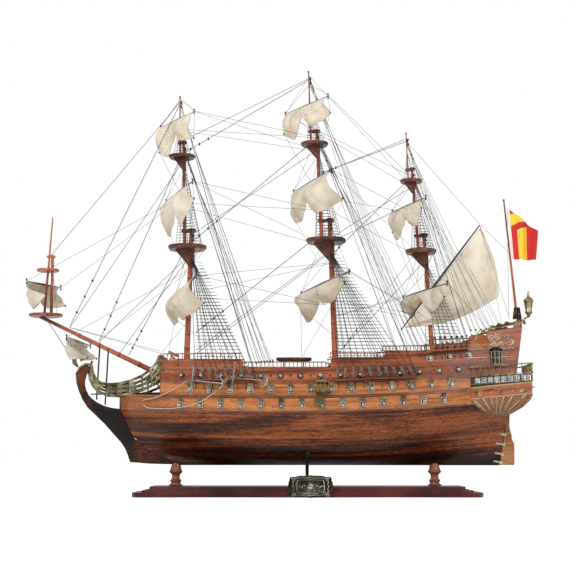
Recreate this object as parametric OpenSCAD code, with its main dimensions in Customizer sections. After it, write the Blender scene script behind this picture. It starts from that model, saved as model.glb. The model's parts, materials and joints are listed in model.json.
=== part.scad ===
// Model sailing ship on a display stand.
// Units are millimetres, +Z is up, the bow points to -X and the port side faces -Y.
// The origin is the middle of the underside of the base board.

/* [Stand] */
// Length of the base board
base_length = 628; // [560:1:700]
// Width of the base board
base_width = 128; // [100:1:160]
// Height of the whole base
base_height = 18.5; // [14:0.5:24]
// Position of the bow pedestal along the keel
pedestal_bow_x = -240; // [-260:1:-180]
// Position of the stern pedestal along the keel
pedestal_stern_x = 233; // [180:1:260]
// Length of the nameplate
plate_length = 77; // [50:1:100]

/* [Hull] */
// Height of the underside of the keel above the table
keel_z = 55.6; // [50:0.1:60]
// Thickness of the keel, the stem and the sternpost
keel_width = 6; // [5:0.1:8]
// Thickness of the side planking
plank = 3; // [2:0.1:4]
// Gap left at glued seams
seam = 0.05; // [0.02:0.01:0.1]
// How far the sheer rises at the stern
sheer_aft = 14; // [8:0.5:18]
// How far the sheer rises at the bow
sheer_fore = 6; // [4:0.5:12]

/* [Guns] */
// Outside size of a square gunport frame
port_size = 10.4; // [8:0.1:12]
// Ports in the lower and in the middle row of each side
ports_per_row = 14; // [8:1:14]
// Round ports in the upper row of each side
round_ports = 15; // [8:1:15]
// Radius of a gun barrel
barrel_r = 1.5; // [1:0.1:2]

/* [Rig] */
// Radius of the shrouds and stays
rope_r = 0.45; // [0.3:0.05:0.8]
// Radius of the thin running lines
line_r = 0.3; // [0.2:0.05:0.5]
// Length of the main course yard
main_yard = 320; // [280:1:340]
// Thickness of the sailcloth blanks
cloth = 0.8; // [0.5:0.1:1.5]

/* [Rudder] */
// Radius of a pintle pin
pintle_r = 0.9; // [0.7:0.05:1.2]
// Running clearance between a pintle and its gudgeon
pintle_gap = 0.06; // [0.03:0.01:0.1]

/* [Hidden] */
$fn = 24;

// ---------------------------------------------------------------- helpers
function lerp(a, b, t) = a + (b - a) * t;
function clamp(v, lo, hi) = min(max(v, lo), hi);
function unit(v) = v / norm(v);
function steps(a, b, n) = [for (i = [0:n]) lerp(a, b, i / n)];
function ngon(r, n) = [for (i = [0:n - 1]) r * [cos(360 * i / n), sin(360 * i / n)]];
function box2(w, h) = [[-w / 2, -h / 2], [w / 2, -h / 2], [w / 2, h / 2], [-w / 2, h / 2]];

// Monotone cubic through a table, x values rising.
function seek(xs, x, i = 0) =
    i >= len(xs) - 2 || x < xs[i + 1] ? i : seek(xs, x, i + 1);
function chord(xs, ys, i) = (ys[i + 1] - ys[i]) / (xs[i + 1] - xs[i]);
function slope(xs, ys, i) =
    i <= 0 ? chord(xs, ys, 0) :
    i >= len(xs) - 1 ? chord(xs, ys, len(xs) - 2) :
    let (a = chord(xs, ys, i - 1), b = chord(xs, ys, i))
    a * b <= 0 ? 0 : 2 * a * b / (a + b);
function curve(xs, ys, x) =
    let (i = seek(xs, x), h = xs[i + 1] - xs[i], t = (x - xs[i]) / h)
    (2 * t * t * t - 3 * t * t + 1) * ys[i]
    + (t * t * t - 2 * t * t + t) * h * slope(xs, ys, i)
    + (3 * t * t - 2 * t * t * t) * ys[i + 1]
    + (t * t * t - t * t) * h * slope(xs, ys, i + 1);

// A solid between two grids of points, A outside and B inside.
module slab(A, B, flip = false) {
    n = len(A);
    m = len(A[0]);
    k = n * m;
    points = [for (r = A) each r, for (r = B) each r];
    outer = [for (i = [0:n - 2], j = [0:m - 2])
        each [[i * m + j, (i + 1) * m + j, (i + 1) * m + j + 1],
              [i * m + j, (i + 1) * m + j + 1, i * m + j + 1]]];
    inner = [for (f = outer) [k + f[0], k + f[2], k + f[1]]];
    low = [for (i = [0:n - 2])
        each [[i * m, k + i * m, k + (i + 1) * m],
              [i * m, k + (i + 1) * m, (i + 1) * m]]];
    top = [for (i = [0:n - 2]) let (a = i * m + m - 1, b = a + m)
        each [[a, b, k + b], [a, k + b, k + a]]];
    start = [for (j = [0:m - 2]) each [[j, j + 1, k + j + 1], [j, k + j + 1, k + j]]];
    end = [for (j = [0:m - 2]) let (a = (n - 1) * m + j)
        each [[a, k + a, k + a + 1], [a, k + a + 1, a + 1]]];
    faces = concat(outer, inner, low, top, start, end);
    polyhedron(points, flip ? [for (f = faces) [f[0], f[2], f[1]]] : faces);
}

// A solid through closed rings of points, each ring counter-clockwise along the way.
module loft(rings, flip = false) {
    n = len(rings);
    m = len(rings[0]);
    points = [for (r = rings) each r];
    sides = [for (i = [0:n - 2], j = [0:m - 1]) let (j2 = (j + 1) % m)
        each [[i * m + j, (i + 1) * m + j2, i * m + j2],
              [i * m + j, (i + 1) * m + j, (i + 1) * m + j2]]];
    first = [for (j = [1:m - 2]) [0, j, j + 1]];
    last = [for (j = [1:m - 2]) let (b = (n - 1) * m) [b, b + j + 1, b + j]];
    faces = concat(sides, first, last);
    polyhedron(points, flip ? [for (f = faces) [f[0], f[2], f[1]]] : faces);
}

// A section carried along a path; gains scales it point by point.
module sweep(path, section, ref = [0, 0, 1], gains = undef) {
    n = len(path);
    loft([for (i = [0:n - 1])
        let (a = path[max(i - 1, 0)], b = path[min(i + 1, n - 1)], t = unit(b - a),
             s = unit(cross(ref, t)), u = cross(t, s), g = is_undef(gains) ? 1 : gains[i])
        [for (q = section) path[i] + g * (s * q[0] + u * q[1])]]);
}

// A round bar from p to q.
module rod(p, q, r1, r2 = undef) {
    d = q - p;
    l = norm(d);
    translate(p)
        rotate([0, acos(d[2] / l), atan2(d[1], d[0])])
            cylinder(h = l, r1 = r1, r2 = is_undef(r2) ? r1 : r2);
}

// A spar that tapers from its middle to both ends.
module spar(p, q, r_mid, r_end) {
    m = (p + q) / 2;
    rod(m, p, r_mid, r_end);
    rod(m, q, r_mid, r_end);
}

// ---------------------------------------------------------------- hull form
hull_u = [0, 0.03, 0.08, 0.15, 0.25, 0.4, 0.6, 0.75, 0.88, 1];
hull_z = [56, 62, 75, 95, 120, 145, 165, 205, 250, 315];
half_breadths = [
    [2, 2, 2, 2, 2, 2, 2, 2, 2, 2],
    [2, 2, 3, 6, 20, 34, 30, 10, 3, 2],
    [2, 4, 10, 24, 45, 58, 54, 28, 8, 2],
    [2, 10, 24, 44, 64, 75, 72, 50, 20, 2],
    [2, 20, 40, 61, 77, 85, 83, 68, 40, 4],
    [2, 28, 50, 71, 84, 90, 89, 79, 60, 34],
    [2, 32, 56, 75, 87, 92, 91, 84, 70, 50],
    [2, 34, 57, 74, 84, 87, 86, 80, 69, 53],
    [2, 32, 54, 69, 76, 78, 77, 72, 62, 49],
    [2, 28, 48, 60, 65, 66, 65, 60, 52, 42]
];
stem_z = [56, 62, 70, 89.7, 112.6, 143.5, 157, 183, 330];
stem_x = [-232, -246, -259, -298, -321, -335, -342, -344, -344];
post_rake = 0.165;
half_keel = keel_width / 2;

function stern_x(z) = 351 + post_rake * (z - 56);
function bow_x(z) = curve(stem_z, stem_x, z);
function hull_x(u, z) = lerp(bow_x(z), stern_x(z), u);
function hull_y(u, z) =
    curve(hull_z, [for (row = half_breadths) curve(hull_u, row, clamp(u, 0, 1))], z);
function u_at(x, z) = (x - bow_x(z)) / (stern_x(z) - bow_x(z));
function side_y(x, z) = hull_y(u_at(x, z), z);
function skin_y(x, z) = max(side_y(x, z), half_keel + 0.9);
function sheer(x) = x > -40 ? sheer_aft * pow((x + 40) / 330, 2) : sheer_fore * pow((x + 40) / 300, 2);
function x_mid(u) = lerp(-344, 372, u);
function level(u, z) = z + sheer(x_mid(u));

wale_low = 149.5;
wale_mid = 178;
wale_top = 203;

// Breaks of the sheer line and the solid top of the side in each zone.
beak_x = -264;
waist_x0 = -117;
waist_x1 = 37;
quarter_x = 130;
mizzen_x = 215;
poop_x = 300;
function side_top(x) =
    x < waist_x0 ? 242 :
    x < waist_x1 ? 229 :
    x < quarter_x ? 246.8 :
    x < mizzen_x ? 259 :
    x < poop_x ? 270 + (x - mizzen_x) * 0.06 :
    let (t = min(1, (x - poop_x) / 12)) lerp(275.2, 294 + (x - poop_x) * 0.19, t * t * (3 - 2 * t));
function rail_top(x) =
    x < waist_x0 ? 256 :
    x < waist_x1 ? 240 :
    x < quarter_x ? 256.5 :
    x < mizzen_x ? 268.5 + (x - quarter_x) * 0.03 :
    x < poop_x ? 280.5 + (x - mizzen_x) * 0.06 :
    let (t = min(1, (x - poop_x) / 12)) lerp(275.2, 294 + (x - poop_x) * 0.19, t * t * (3 - 2 * t));

low_u = [0, 0.008, 0.02, 0.035, 0.055, 0.08, 0.11, 0.15, 0.2, 0.26, 0.33, 0.41, 0.5,
    0.58, 0.66, 0.73, 0.79, 0.84, 0.88, 0.92, 0.95, 0.975, 1];
breaks = [waist_x0, waist_x1, quarter_x, mizzen_x, poop_x];
function u_mid(x) = (x + 344) / 716;
high_u = [u_mid(beak_x), 0.14, 0.18, 0.23, 0.28, u_mid(waist_x0 - 0.5), u_mid(waist_x0 + 0.5),
    0.37, 0.42, 0.48, u_mid(waist_x1 - 0.5), u_mid(waist_x1 + 0.5), 0.57, 0.61,
    u_mid(quarter_x - 0.5), u_mid(quarter_x + 0.5), 0.7, 0.74,
    u_mid(mizzen_x - 0.5), u_mid(mizzen_x + 0.5), 0.82, 0.86,
    u_mid(poop_x - 0.5), u_mid(poop_x + 0.5), 0.905, 0.91, 0.914, 0.918, 0.93, 0.95, 0.975, 1];

// One run of planking. lo and hi give its edges, s is -1 for port and 1 for starboard.
module planking(us, lo, hi, rows, s) {
    grid = [for (u = us) [for (j = [0:rows])
        let (z = lerp(lo(u), hi(u), j / rows), y = max(hull_y(u, z), half_keel + 0.9))
        [hull_x(u, z), y, z]]];
    outer = [for (r = grid) [for (p = r) [p[0], s * p[1], p[2]]]];
    inner = [for (r = grid) [for (p = r)
        [p[0], s * max(p[1] - plank, half_keel + 0.2), p[2]]]];
    slab(outer, inner, s < 0);
}

// A batten laid on the planking, following the sheer at height z0.
module batten(us, z0, height, proud, s) {
    inner = [for (u = us) [for (k = [-0.5, 0.5]) let (z = level(u, z0) + k * height)
        [hull_x(u, z), s * (max(hull_y(u, z), half_keel + 0.9) + seam), z]]];
    outer = [for (r = inner) [for (p = r) [p[0], p[1] + s * proud, p[2]]]];
    slab(outer, inner, s < 0);
}

// A fitting placed on the side of the hull: local x aft, y outboard, z up.
module on_side(x, z, s, off = 0) {
    y = skin_y(x, z);
    yaw = atan2(skin_y(x + 4, z) - skin_y(x - 4, z), 8);
    lean = atan2(skin_y(x, z + 4) - skin_y(x, z - 4), 8);
    translate([x, s * (y + off), z])
        rotate([-s * lean, 0, s * yaw])
            rotate([0, 0, s < 0 ? 180 : 0])
                children();
}

// A flat plate across the ship between two stations, inside the planking.
module deck(x0, x1, z, t, n, inset) {
    xs = steps(x0, x1, n);
    half = [for (x = xs) min(side_y(x, z), side_y(x, z + t)) - plank - inset];
    port = [for (i = [0:n]) [xs[i], -half[i]]];
    starboard = [for (i = [n:-1:0]) [xs[i], half[i]]];
    translate([0, 0, z])
        linear_extrude(t)
            polygon(concat(port, starboard));
}

// A wall across the ship at station x between heights z0 and z1.
module wall(x, z0, z1, t, inset = 0.1) {
    zs = steps(z0, z1, 3);
    half = [for (z = zs) min(side_y(x, z), side_y(x + t, z)) - plank - inset];
    outline = concat([for (i = [0:3]) [half[i], zs[i]]],
        [for (i = [3:-1:0]) [-half[i], zs[i]]]);
    translate([x, 0, 0])
        rotate([90, 0, 90])
            linear_extrude(t)
                polygon(outline);
}

// ---------------------------------------------------------------- stand
function round_rect(w, d, r) = concat(
    [for (a = [0:18:90]) [w / 2 - r + r * cos(a), d / 2 - r + r * sin(a)]],
    [for (a = [90:18:180]) [-w / 2 + r + r * cos(a), d / 2 - r + r * sin(a)]],
    [for (a = [180:18:270]) [-w / 2 + r + r * cos(a), -d / 2 + r + r * sin(a)]],
    [for (a = [270:18:360]) [w / 2 - r + r * cos(a), -d / 2 + r + r * sin(a)]]);

module stand_base() {
    board = 8;
    step = 4;
    wave = [for (i = [0:40]) let (t = i / 40) [lerp(-1, 1, t) * (base_length / 2 - 8),
        -base_width / 2 + 2 - 2 * cos(720 * t)]];
    outline = concat(wave, [[base_length / 2, -base_width / 2 + 14],
        [base_length / 2, base_width / 2 - 14]],
        [for (i = [40:-1:0]) [wave[i][0], -wave[i][1]]],
        [[-base_length / 2, base_width / 2 - 14], [-base_length / 2, -base_width / 2 + 14]]);
    color("#4a1f1f") {
        linear_extrude(board)
            polygon(outline);
        translate([0, 0, board - 0.01])
            linear_extrude(step)
                polygon(round_rect(base_length - 34, base_width - 14, 10));
        translate([0, 0, board + step - 0.5])
            linear_extrude(2)
                polygon(round_rect(base_length - 52, base_width - 26, 8));
        translate([0, 0, board + step + 1])
            linear_extrude(base_height - board - step - 1)
                polygon(round_rect(base_length - 60, base_width - 34, 8));
    }
}

module pedestal(x) {
    h = keel_z + 8.3 - base_height;
    translate([x, 0, base_height + seam])
        difference() {
            rotate_extrude($fn = 40)
                polygon([[0, 0], [12, 0], [12.6, 1.4], [12, 3], [9.4, 4.4], [8.6, 6.6], [10.6, 8.4],
                    [10.8, 10], [9.4, 11.6], [7.6, 13.4], [7.2, 17.5], [8.4, 21.5], [11.4, 24],
                    [12.5, 25.6], [12.2, 27.4], [10.6, 28.8], [9.6, 33], [6.8, h], [0, h]]);
            translate([-20, 0, keel_z - base_height - seam])
                rotate([90, 0, 90])
                    linear_extrude(40)
                        polygon([[-4.2, 0], [4.2, 0], [4.2, 0.3], [9, 6.4], [16, 16],
                            [-16, 16], [-9, 6.4], [-4.2, 0.3]]);
        }
}

module stand_pedestals() {
    color("#8a4030") {
        pedestal(pedestal_bow_x);
        pedestal(pedestal_stern_x);
    }
}

module cradle_bracket() {
    gap = 0.5;
    thick = 2.4;
    zs = [58, 60, 62, 65, 69, 74, 80];
    inner = [for (z = zs) [side_y(0, z) + gap, z - 0.5]];
    outer = [for (i = [len(zs) - 1:-1:0]) [inner[i][0] + thick * 0.6, inner[i][1] - thick]];
    half = concat([[half_keel + 0.4, keel_z - 0.4], [half_keel + 1.2, keel_z - 0.3]],
        [for (p = inner) if (p[0] > half_keel + 1) p], [for (p = outer) if (p[0] > 8) p],
        [[7, 51], [4.5, 44], [4.5, 24], [7, 20.6], [16, 20.4], [16, base_height + seam]]);
    whole = concat(half, [for (i = [len(half) - 1:-1:0]) [-half[i][0], half[i][1]]]);
    color("#1c1a1a")
        translate([-3, 0, 0])
            rotate([90, 0, 90])
                linear_extrude(6)
                    polygon(whole);
}

module nameplate() {
    l = plate_length;
    translate([5, -base_width / 2 - 1.3, 19])
        rotate([78, 0, 0]) {
            color("#5d5548") {
                translate([0, 0, 1])
                    linear_extrude(1.4)
                        difference() {
                            polygon([for (i = [0:47]) let (a = 360 * i / 48, f = 1 + 0.045 * cos(8 * a))
                                [l / 2 * f * sign(cos(a)) * pow(abs(cos(a)), 0.35),
                                 19 * f * sign(sin(a)) * pow(abs(sin(a)), 0.4)]]);
                            square([l - 16, 24], center = true);
                        }
                translate([0, 0, 0.4])
                    cube([l - 10, 30, 1.2], center = true);
                for (x = [-1, 1], y = [-1, 1])
                    translate([x * (l / 2 - 4.5), y * 13, 1])
                        cylinder(h = 2.4, r1 = 4, r2 = 2.4);
                for (k = [-1, 1])
                    translate([0, k * 15.5, 1])
                        cylinder(h = 2.4, r1 = 5, r2 = 3);
            }
        }
}

// ---------------------------------------------------------------- hull
module keel_and_stem() {
    outline = [[350.5, keel_z], [-200, keel_z + 0.6], [-290, keel_z + 3], [-324, 61.5],
        [-328, 73], [-333, 85], [-341, 97], [-352, 109], [-372, 131], [-389, 147],
        [-404, 161], [-414, 176], [-421, 192], [-425.5, 206], [-427, 220], [-424, 230],
        [-417, 237], [-408, 240], [-402, 237], [-401, 230], [-407, 222], [-410, 211.6],
        [-410, 201], [-407, 191.6], [-402.5, 183.5], [-396, 177], [-387, 170.5],
        [-375, 164.5], [-360, 160.5], [-345.2, 158.5], [-345.2, 184], [-335, 184],
        [-332, 140], [-316, 104], [-288, 84], [-250, 74.5], [-180, 70], [180, 70],
        [300, 76], [338, 92], [350, 128], [362.8, 128]];
    color("#2e1712")
        rotate([90, 0, 0])
            translate([0, 0, -half_keel])
                linear_extrude(keel_width)
                    polygon(outline);
}

module bottom_planking(s) {
    planking(low_u, function(u) keel_z + 0.4, function(u) level(u, wale_low) - seam, 10, s);
}

module bottom_planking_port() {
    color("#5a331d") bottom_planking(-1);
}

module bottom_planking_starboard() {
    color("#5a331d") bottom_planking(1);
}

module lower_topside(s) {
    planking(low_u, function(u) level(u, wale_low) + seam,
        function(u) level(u, wale_mid) - seam, 3, s);
}

module lower_topside_port() {
    color("#b5672c") lower_topside(-1);
}

module lower_topside_starboard() {
    color("#b5672c") lower_topside(1);
}

module upper_topside(s) {
    planking(high_u, function(u) level(u, wale_mid) + seam,
        function(u) side_top(x_mid(u)), 6, s);
}

module upper_topside_port() {
    color("#9c4a22") upper_topside(-1);
}

module upper_topside_starboard() {
    color("#9c4a22") upper_topside(1);
}

module wales() {
    short_u = [for (u = high_u) if (u < 0.885) u];
    side_u = [for (u = low_u) if (u > 0.1) u];
    color("#6b3018")
        for (s = [-1, 1]) {
            batten([for (u = low_u) if (u < 0.9) u], wale_low, 3.4, 1.5, s);
            batten([for (u = low_u) if (u < 0.9) u], wale_mid - 3, 1.6, 1.2, s);
            batten([for (u = side_u) if (u < 0.9) u], wale_mid, 2, 1.6, s);
            batten([for (u = side_u) if (u < 0.9) u], wale_top + 1, 2.2, 1.5, s);
            batten([for (u = side_u) if (u < 0.9) u], wale_top - 3, 1.2, 1.0, s);
            batten([for (u = side_u) if (u < 0.9) u], wale_top + 21, 1.6, 1.2, s);
        }
}

// A cap laid on the top edge of the side between two stations.
module cap(x0, x1, s, top, h, wide, n) {
    xs = steps(x0, x1, n);
    sec = [for (x = xs) let (z = top == 0 ? side_top(x) : top(x),
            y = side_y(x, z - 2) - plank / 2)
        [[x, s * (y + wide / 2), z + seam], [x, s * (y + wide / 2), z + seam + h],
         [x, s * (y - wide / 2), z + seam], [x, s * (y - wide / 2), z + seam + h]]];
    slab([for (r = sec) [r[0], r[1]]], [for (r = sec) [r[2], r[3]]], s < 0);
}

module cap_rails() {
    color("#7a3218")
        for (s = [-1, 1]) {
            cap(beak_x + 1, waist_x0 - 1, s, 0, 1.6, 5, 8);
            cap(waist_x0 + 1, waist_x1 - 1, s, 0, 1.6, 5, 8);
            cap(waist_x1 + 1, quarter_x - 1, s, 0, 1.6, 5, 5);
            cap(quarter_x + 1, mizzen_x - 1, s, 0, 1.6, 5, 5);
            cap(mizzen_x + 1, poop_x - 8.5, s, 0, 1.6, 5, 5);
        }
}

module deck_rails() {
    post = 1.2;
    runs = [[beak_x + 3, waist_x0 - 3, 10], [waist_x0 + 3, waist_x1 - 3, 10],
        [waist_x1 + 3, quarter_x - 3, 7], [quarter_x + 3, mizzen_x - 3, 6],
        [mizzen_x + 3, poop_x - 3, 6]];
    color("#8a4022")
        for (s = [-1, 1], r = runs) {
            lift = function(x) rail_top(x) - 1.8;
            cap(r[0], r[1], s, lift, 1.8, 3, r[2]);
            for (i = [0:r[2] * 2]) {
                x = lerp(r[0] + 1.5, r[1] - 1.5, i / r[2] / 2);
                z = side_top(x) + 1.6 + seam;
                y = side_y(x, rail_top(x)) - plank / 2;
                translate([x - post / 2, s * y - post / 2, z])
                    cube([post, post, rail_top(x) - 1 - z]);
            }
        }
}

module transom() {
    zs = [119, 124, 130, 137, 145, 155, 165, 185, 205, 228, 250, 272, 295, 310];
    right = [for (z = zs) [hull_y(1, z) - plank - 0.1, z]];
    crown = [[30, 318], [16, 323], [0, 325]];
    half = concat(right, crown);
    outline = concat(half, [for (i = [len(half) - 2:-1:0]) [-half[i][0], half[i][1]]]);
    board = [for (q = outline) if (abs(q[0]) > 0.01 || q[1] > 300) q];
    front = [for (q = board) [stern_x(q[1]) - 4, q[0], q[1]]];
    back = [for (q = board) [stern_x(q[1]) - 0.6, q[0], q[1]]];
    n = len(board);
    m = (n - 1) / 2;
    caps = [for (i = [0:m - 1]) each [[i, i + 1, n - 2 - i], [i, n - 2 - i, n - 1 - i]]];
    sides = [for (i = [0:n - 1]) let (j = (i + 1) % n)
        each [[i, n + i, n + j], [i, n + j, j]]];
    color("#7d3a1e")
        polyhedron(concat(front, back), concat(
            [for (f = caps) if (f[0] != f[1] && f[1] != f[2] && f[0] != f[2]) f],
            [for (f = caps) if (f[0] != f[1] && f[1] != f[2] && f[0] != f[2])
                [n + f[0], n + f[2], n + f[1]]], sides));
}

// ---------------------------------------------------------------- stern
gallery_x0 = 292;
gallery_x1 = 404;
function gallery_rise(x) = (x - 345) * 0.075;

// Half outline in plan of the gallery, bow end first, running out and aft.
function gallery_half(z, f) = [
    [gallery_x0, side_y(gallery_x0, z) - 0.4], [gallery_x0 + 1, 69 + 2 * f],
    [gallery_x0 + 8, 70 + 5 * f], [330, 70 + 5 * f], [360, 67 + 4.5 * f],
    [385, 63 + 4 * f], [gallery_x1 - 2, 58 + 3 * f], [gallery_x1 + 3, 46],
    [gallery_x1 + 3, 20]];

module gallery_storey(z0, z1, f0, f1, s) {
    rows = [for (k = [[z0, f0], [z1, f1]]) gallery_half(k[0], k[1])];
    inner = [for (k = [0, 1]) let (z = k == 0 ? z0 : z1, post = stern_x(z) + 1) [for (i = [0:8])
        let (p = rows[k][i]) i < 5 ? [p[0], side_y(p[0], z) - 1.6]
            : [i == 5 ? post - 3 : post, i < 7 ? side_y(368, z) - 1 : i == 7 ? 42 : 20]]];
    lift = function(g) [for (k = [0, 1]) [for (p = g[k])
        [p[0], s * p[1], (k == 0 ? z0 : z1) + gallery_rise(p[0])]]];
    slab(lift(rows), lift(inner), s > 0);
}

module gallery_finish(s) {
    c = [346, 0, 143];
    tops = gallery_half(178, 0.3);
    n = len(tops);
    fs = [0.08, 0.4, 0.72, 0.92, 1];
    zs = [36, 30, 20, 9, 0];
    ring = function(inside) [for (k = [0:4]) [for (i = [0:n - 2])
        let (q = tops[i], x = lerp(c[0], q[0], fs[k]), z = 178 - zs[k], y0 = side_y(min(x, 372), z),
            y = inside ? min(y0 - 0.5, q[1] - 3) : max(y0 + 0.4, lerp(y0 - 2, q[1], fs[k])))
        [x, s * y, z + gallery_rise(x) * fs[k]]]];
    slab(ring(false), ring(true), s > 0);
}

module quarter_galleries() {
    color("#9a4a24")
        for (s = [-1, 1]) {
            gallery_finish(s);
            gallery_storey(178.02, 190, 0.3, 0.5, s);
            gallery_storey(190.02, 203, 0.9, 0.9, s);
        }
    color("#3a1c12") {
        for (s = [-1, 1])
            gallery_storey(203.02, 216, 0.5, 0.5, s);
    }
    color("#7d3a1e")
        translate([0, 0, 0])
            rotate([90, 0, 0])
                translate([0, 0, -19.8])
                    linear_extrude(39.6)
                        polygon([[stern_x(165) + 0.4, 170], [gallery_x1 + 3, 182.4],
                            [gallery_x1 + 3, 220.3], [stern_x(216) + 0.4, 218]]);
}

module window(w, h, cols) {
    rows = 3;
    difference() {
        translate([-w / 2, 0, -h / 2])
            cube([w, 1.2, h]);
        for (i = [0:cols - 1], j = [0:rows - 1])
            translate([-w / 2 + 0.5 + i * (w - 0.5) / cols, 0.7, -h / 2 + 0.5 + j * (h - 0.5) / rows])
                cube([(w - 0.5) / cols - 0.5, 1, (h - 0.5) / rows - 0.5]);
    }
}

module gallery_windows() {
    z = 209.5;
    h = gallery_half(z, 0.5);
    color("#c9ccd0") {
        for (s = [-1, 1], x = [304, 315.5, 327, 339, 351, 363, 375, 387, 397]) {
            i = seek([for (p = h) p[0]], x);
            a = h[i];
            b = h[i + 1];
            y = lerp(a[1], b[1], (x - a[0]) / (b[0] - a[0]));
            translate([x, s * (y + seam), z + gallery_rise(x)])
                rotate([0, 0, s * atan2(b[1] - a[1], b[0] - a[0])])
                    rotate([0, 0, s < 0 ? 180 : 0])
                        window(9.6, 9.5, 2);
        }
        for (y = steps(-42, 42, 6))
            translate([gallery_x1 + 3 + seam, y, z + gallery_rise(gallery_x1 + 3)])
                rotate([0, 0, -90])
                    window(11, 9.5, 2);
        for (y = steps(-36, 36, 5))
            translate([stern_x(262) - 0.3, y, 262])
                rotate([0, atan(post_rake), 0])
                    rotate([0, 0, -90])
                        window(10, 17, 2);
    }
}

// The plan line of the galleries at storey height z, from the port side round the stern.
function gallery_line(z, f, out) =
    let (h = gallery_half(z, f),
        starboard = [for (i = [1:7]) [h[i][0] + (i > 6 ? out : 0), h[i][1] + out, z]],
        port = [for (i = [7:-1:1]) [h[i][0] + (i > 6 ? out : 0), -h[i][1] - out, z]])
    [for (p = concat(starboard, port)) [p[0], p[1], p[2] + gallery_rise(p[0])]];

module gallery_rails() {
    color("#8c7f5a") {
        sweep(gallery_line(191.5, 0.5, 2.4), box2(1.6, 1.8));
        sweep(gallery_line(203.4, 0.9, 1.0), box2(1.8, 1.6));
        sweep(gallery_line(217.5, 0.5, 1.4), box2(2.4, 2.0));
        sweep(gallery_line(234.5, 0.5, 1.6), box2(2.2, 2.2));
        for (s = [-1, 1], x = [297, 309, 321, 333, 346, 359, 372, 385, 397]) {
            h = gallery_half(220, 0.5);
            i = seek([for (p = h) p[0]], x);
            y = lerp(h[i][1], h[i + 1][1], (x - h[i][0]) / (h[i + 1][0] - h[i][0])) + 1;
            z = 218.4 + gallery_rise(x);
            translate([x, s * y, z])
                cylinder(h = 15.6, r = 0.8);
        }
        for (y = steps(-44, 44, 11))
            translate([gallery_x1 + 4, y, 222.2])
                cylinder(h = 16, r = 0.9);
        for (s = [-1, 1], x = steps(gallery_x0 + 3, gallery_x1 - 4, 7)) {
            q = gallery_half(178, 0.3);
            i = seek([for (p = q) p[0]], x);
            y = lerp(q[i][1], q[i + 1][1], (x - q[i][0]) / (q[i + 1][0] - q[i][0]));
            path = [for (k = [[1, 0], [0.92, 9], [0.72, 20], [0.4, 30], [0.08, 36]])
                let (px = lerp(346, x, k[0]), pz = 178 - k[1],
                    y0 = side_y(min(px, 372), pz))
                [px, s * (max(y0 + 0.4, lerp(y0 - 2, y, k[0])) + 0.7),
                    pz + gallery_rise(px) * k[0]]];
            sweep(path, ngon(0.8, 6), [1, 0, 0]);
        }
        for (s = [-1, 1], x = [302, 346, 390]) {
            h = gallery_half(184, 0.4);
            i = seek([for (p = h) p[0]], x);
            y = lerp(h[i][1], h[i + 1][1], (x - h[i][0]) / (h[i + 1][0] - h[i][0]));
            translate([x, s * (y + 1.2), 185 + gallery_rise(x)])
                rotate([90, 0, 0])
                    rotate_extrude()
                        translate([2.6, 0])
                            circle(1, $fn = 12);
        }
    }
}

module taffrail() {
    color("#8c7f5a") {
        for (s = [-1, 1]) {
            sweep([for (x = steps(poop_x - 6, 394, 30))
                [x, s * (side_y(min(x, 388), 295) + 0.4), side_top(max(x, poop_x + 1)) + 1.4]],
                box2(5, 2));
        }
        arch = [for (i = [0:12]) let (a = 15 * i) [396.5, -42 * cos(a), 311 + 13 * sin(a)]];
        sweep(arch, box2(2.2, 5), [1, 0, 0]);
    }
    color("#a5502a")
        for (s = [-1, 1])
            translate([0, s * 47.5, 0])
                rotate([90, 0, 0])
                    linear_extrude(2, center = true)
                        polygon([[322, 300.6], [330, 303], [334, 309], [342, 307], [348, 313], [356, 310],
                            [362, 316], [370, 313], [378, 316], [384, 313], [384, 310.2]]);
}

module stern_lantern() {
    color("#8c7f5a")
        translate([413, 0, 318]) {
            rod([-14, 0, 4], [0, 0, 12], 1.4);
            rotate_extrude($fn = 12)
                polygon([[0, 10], [2.4, 10], [3, 14], [7, 19], [7, 20.6], [5.6, 22], [8.6, 39], [9.6, 40],
                    [9.4, 42], [6, 46], [2.2, 49], [2.8, 52], [1.4, 54], [1.2, 58], [0, 60]]);
        }
}

module flagstaff() {
    foot = [391, 0, 327];
    head = [371.6, 0, 550];
    color("#8f4630") rod(foot, head, 2.6, 1.3);
    color("#8c7f5a")
        translate(head)
            sphere(2.2, $fn = 16);
    color("#1c1614")
        translate([391, 0, 332])
            rotate([0, -5, 0])
                difference() {
                    cube([12, 9, 14], center = true);
                    cylinder(h = 16, r = 2.7, center = true);
                }
}

module flag() {
    n = 8;
    top = [for (i = [0:n]) let (t = i / n) [377.4 + 54 * t, 7 * sin(360 * t) * t,
        536 - 14 * t - 8 * t * t]];
    low = [for (i = [0:n]) let (t = i / n) [384.8 + 50 * t, 6 * sin(360 * t + 20) * t,
        438 - 8 * t]];
    color("#c8301c")
        slab([for (i = [0:n]) [for (j = [0:3]) lerp(low[i], top[i], j / 3) + [0, cloth / 2, 0]]],
            [for (i = [0:n]) [for (j = [0:3]) lerp(low[i], top[i], j / 3) - [0, cloth / 2, 0]]]);
}

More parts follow.
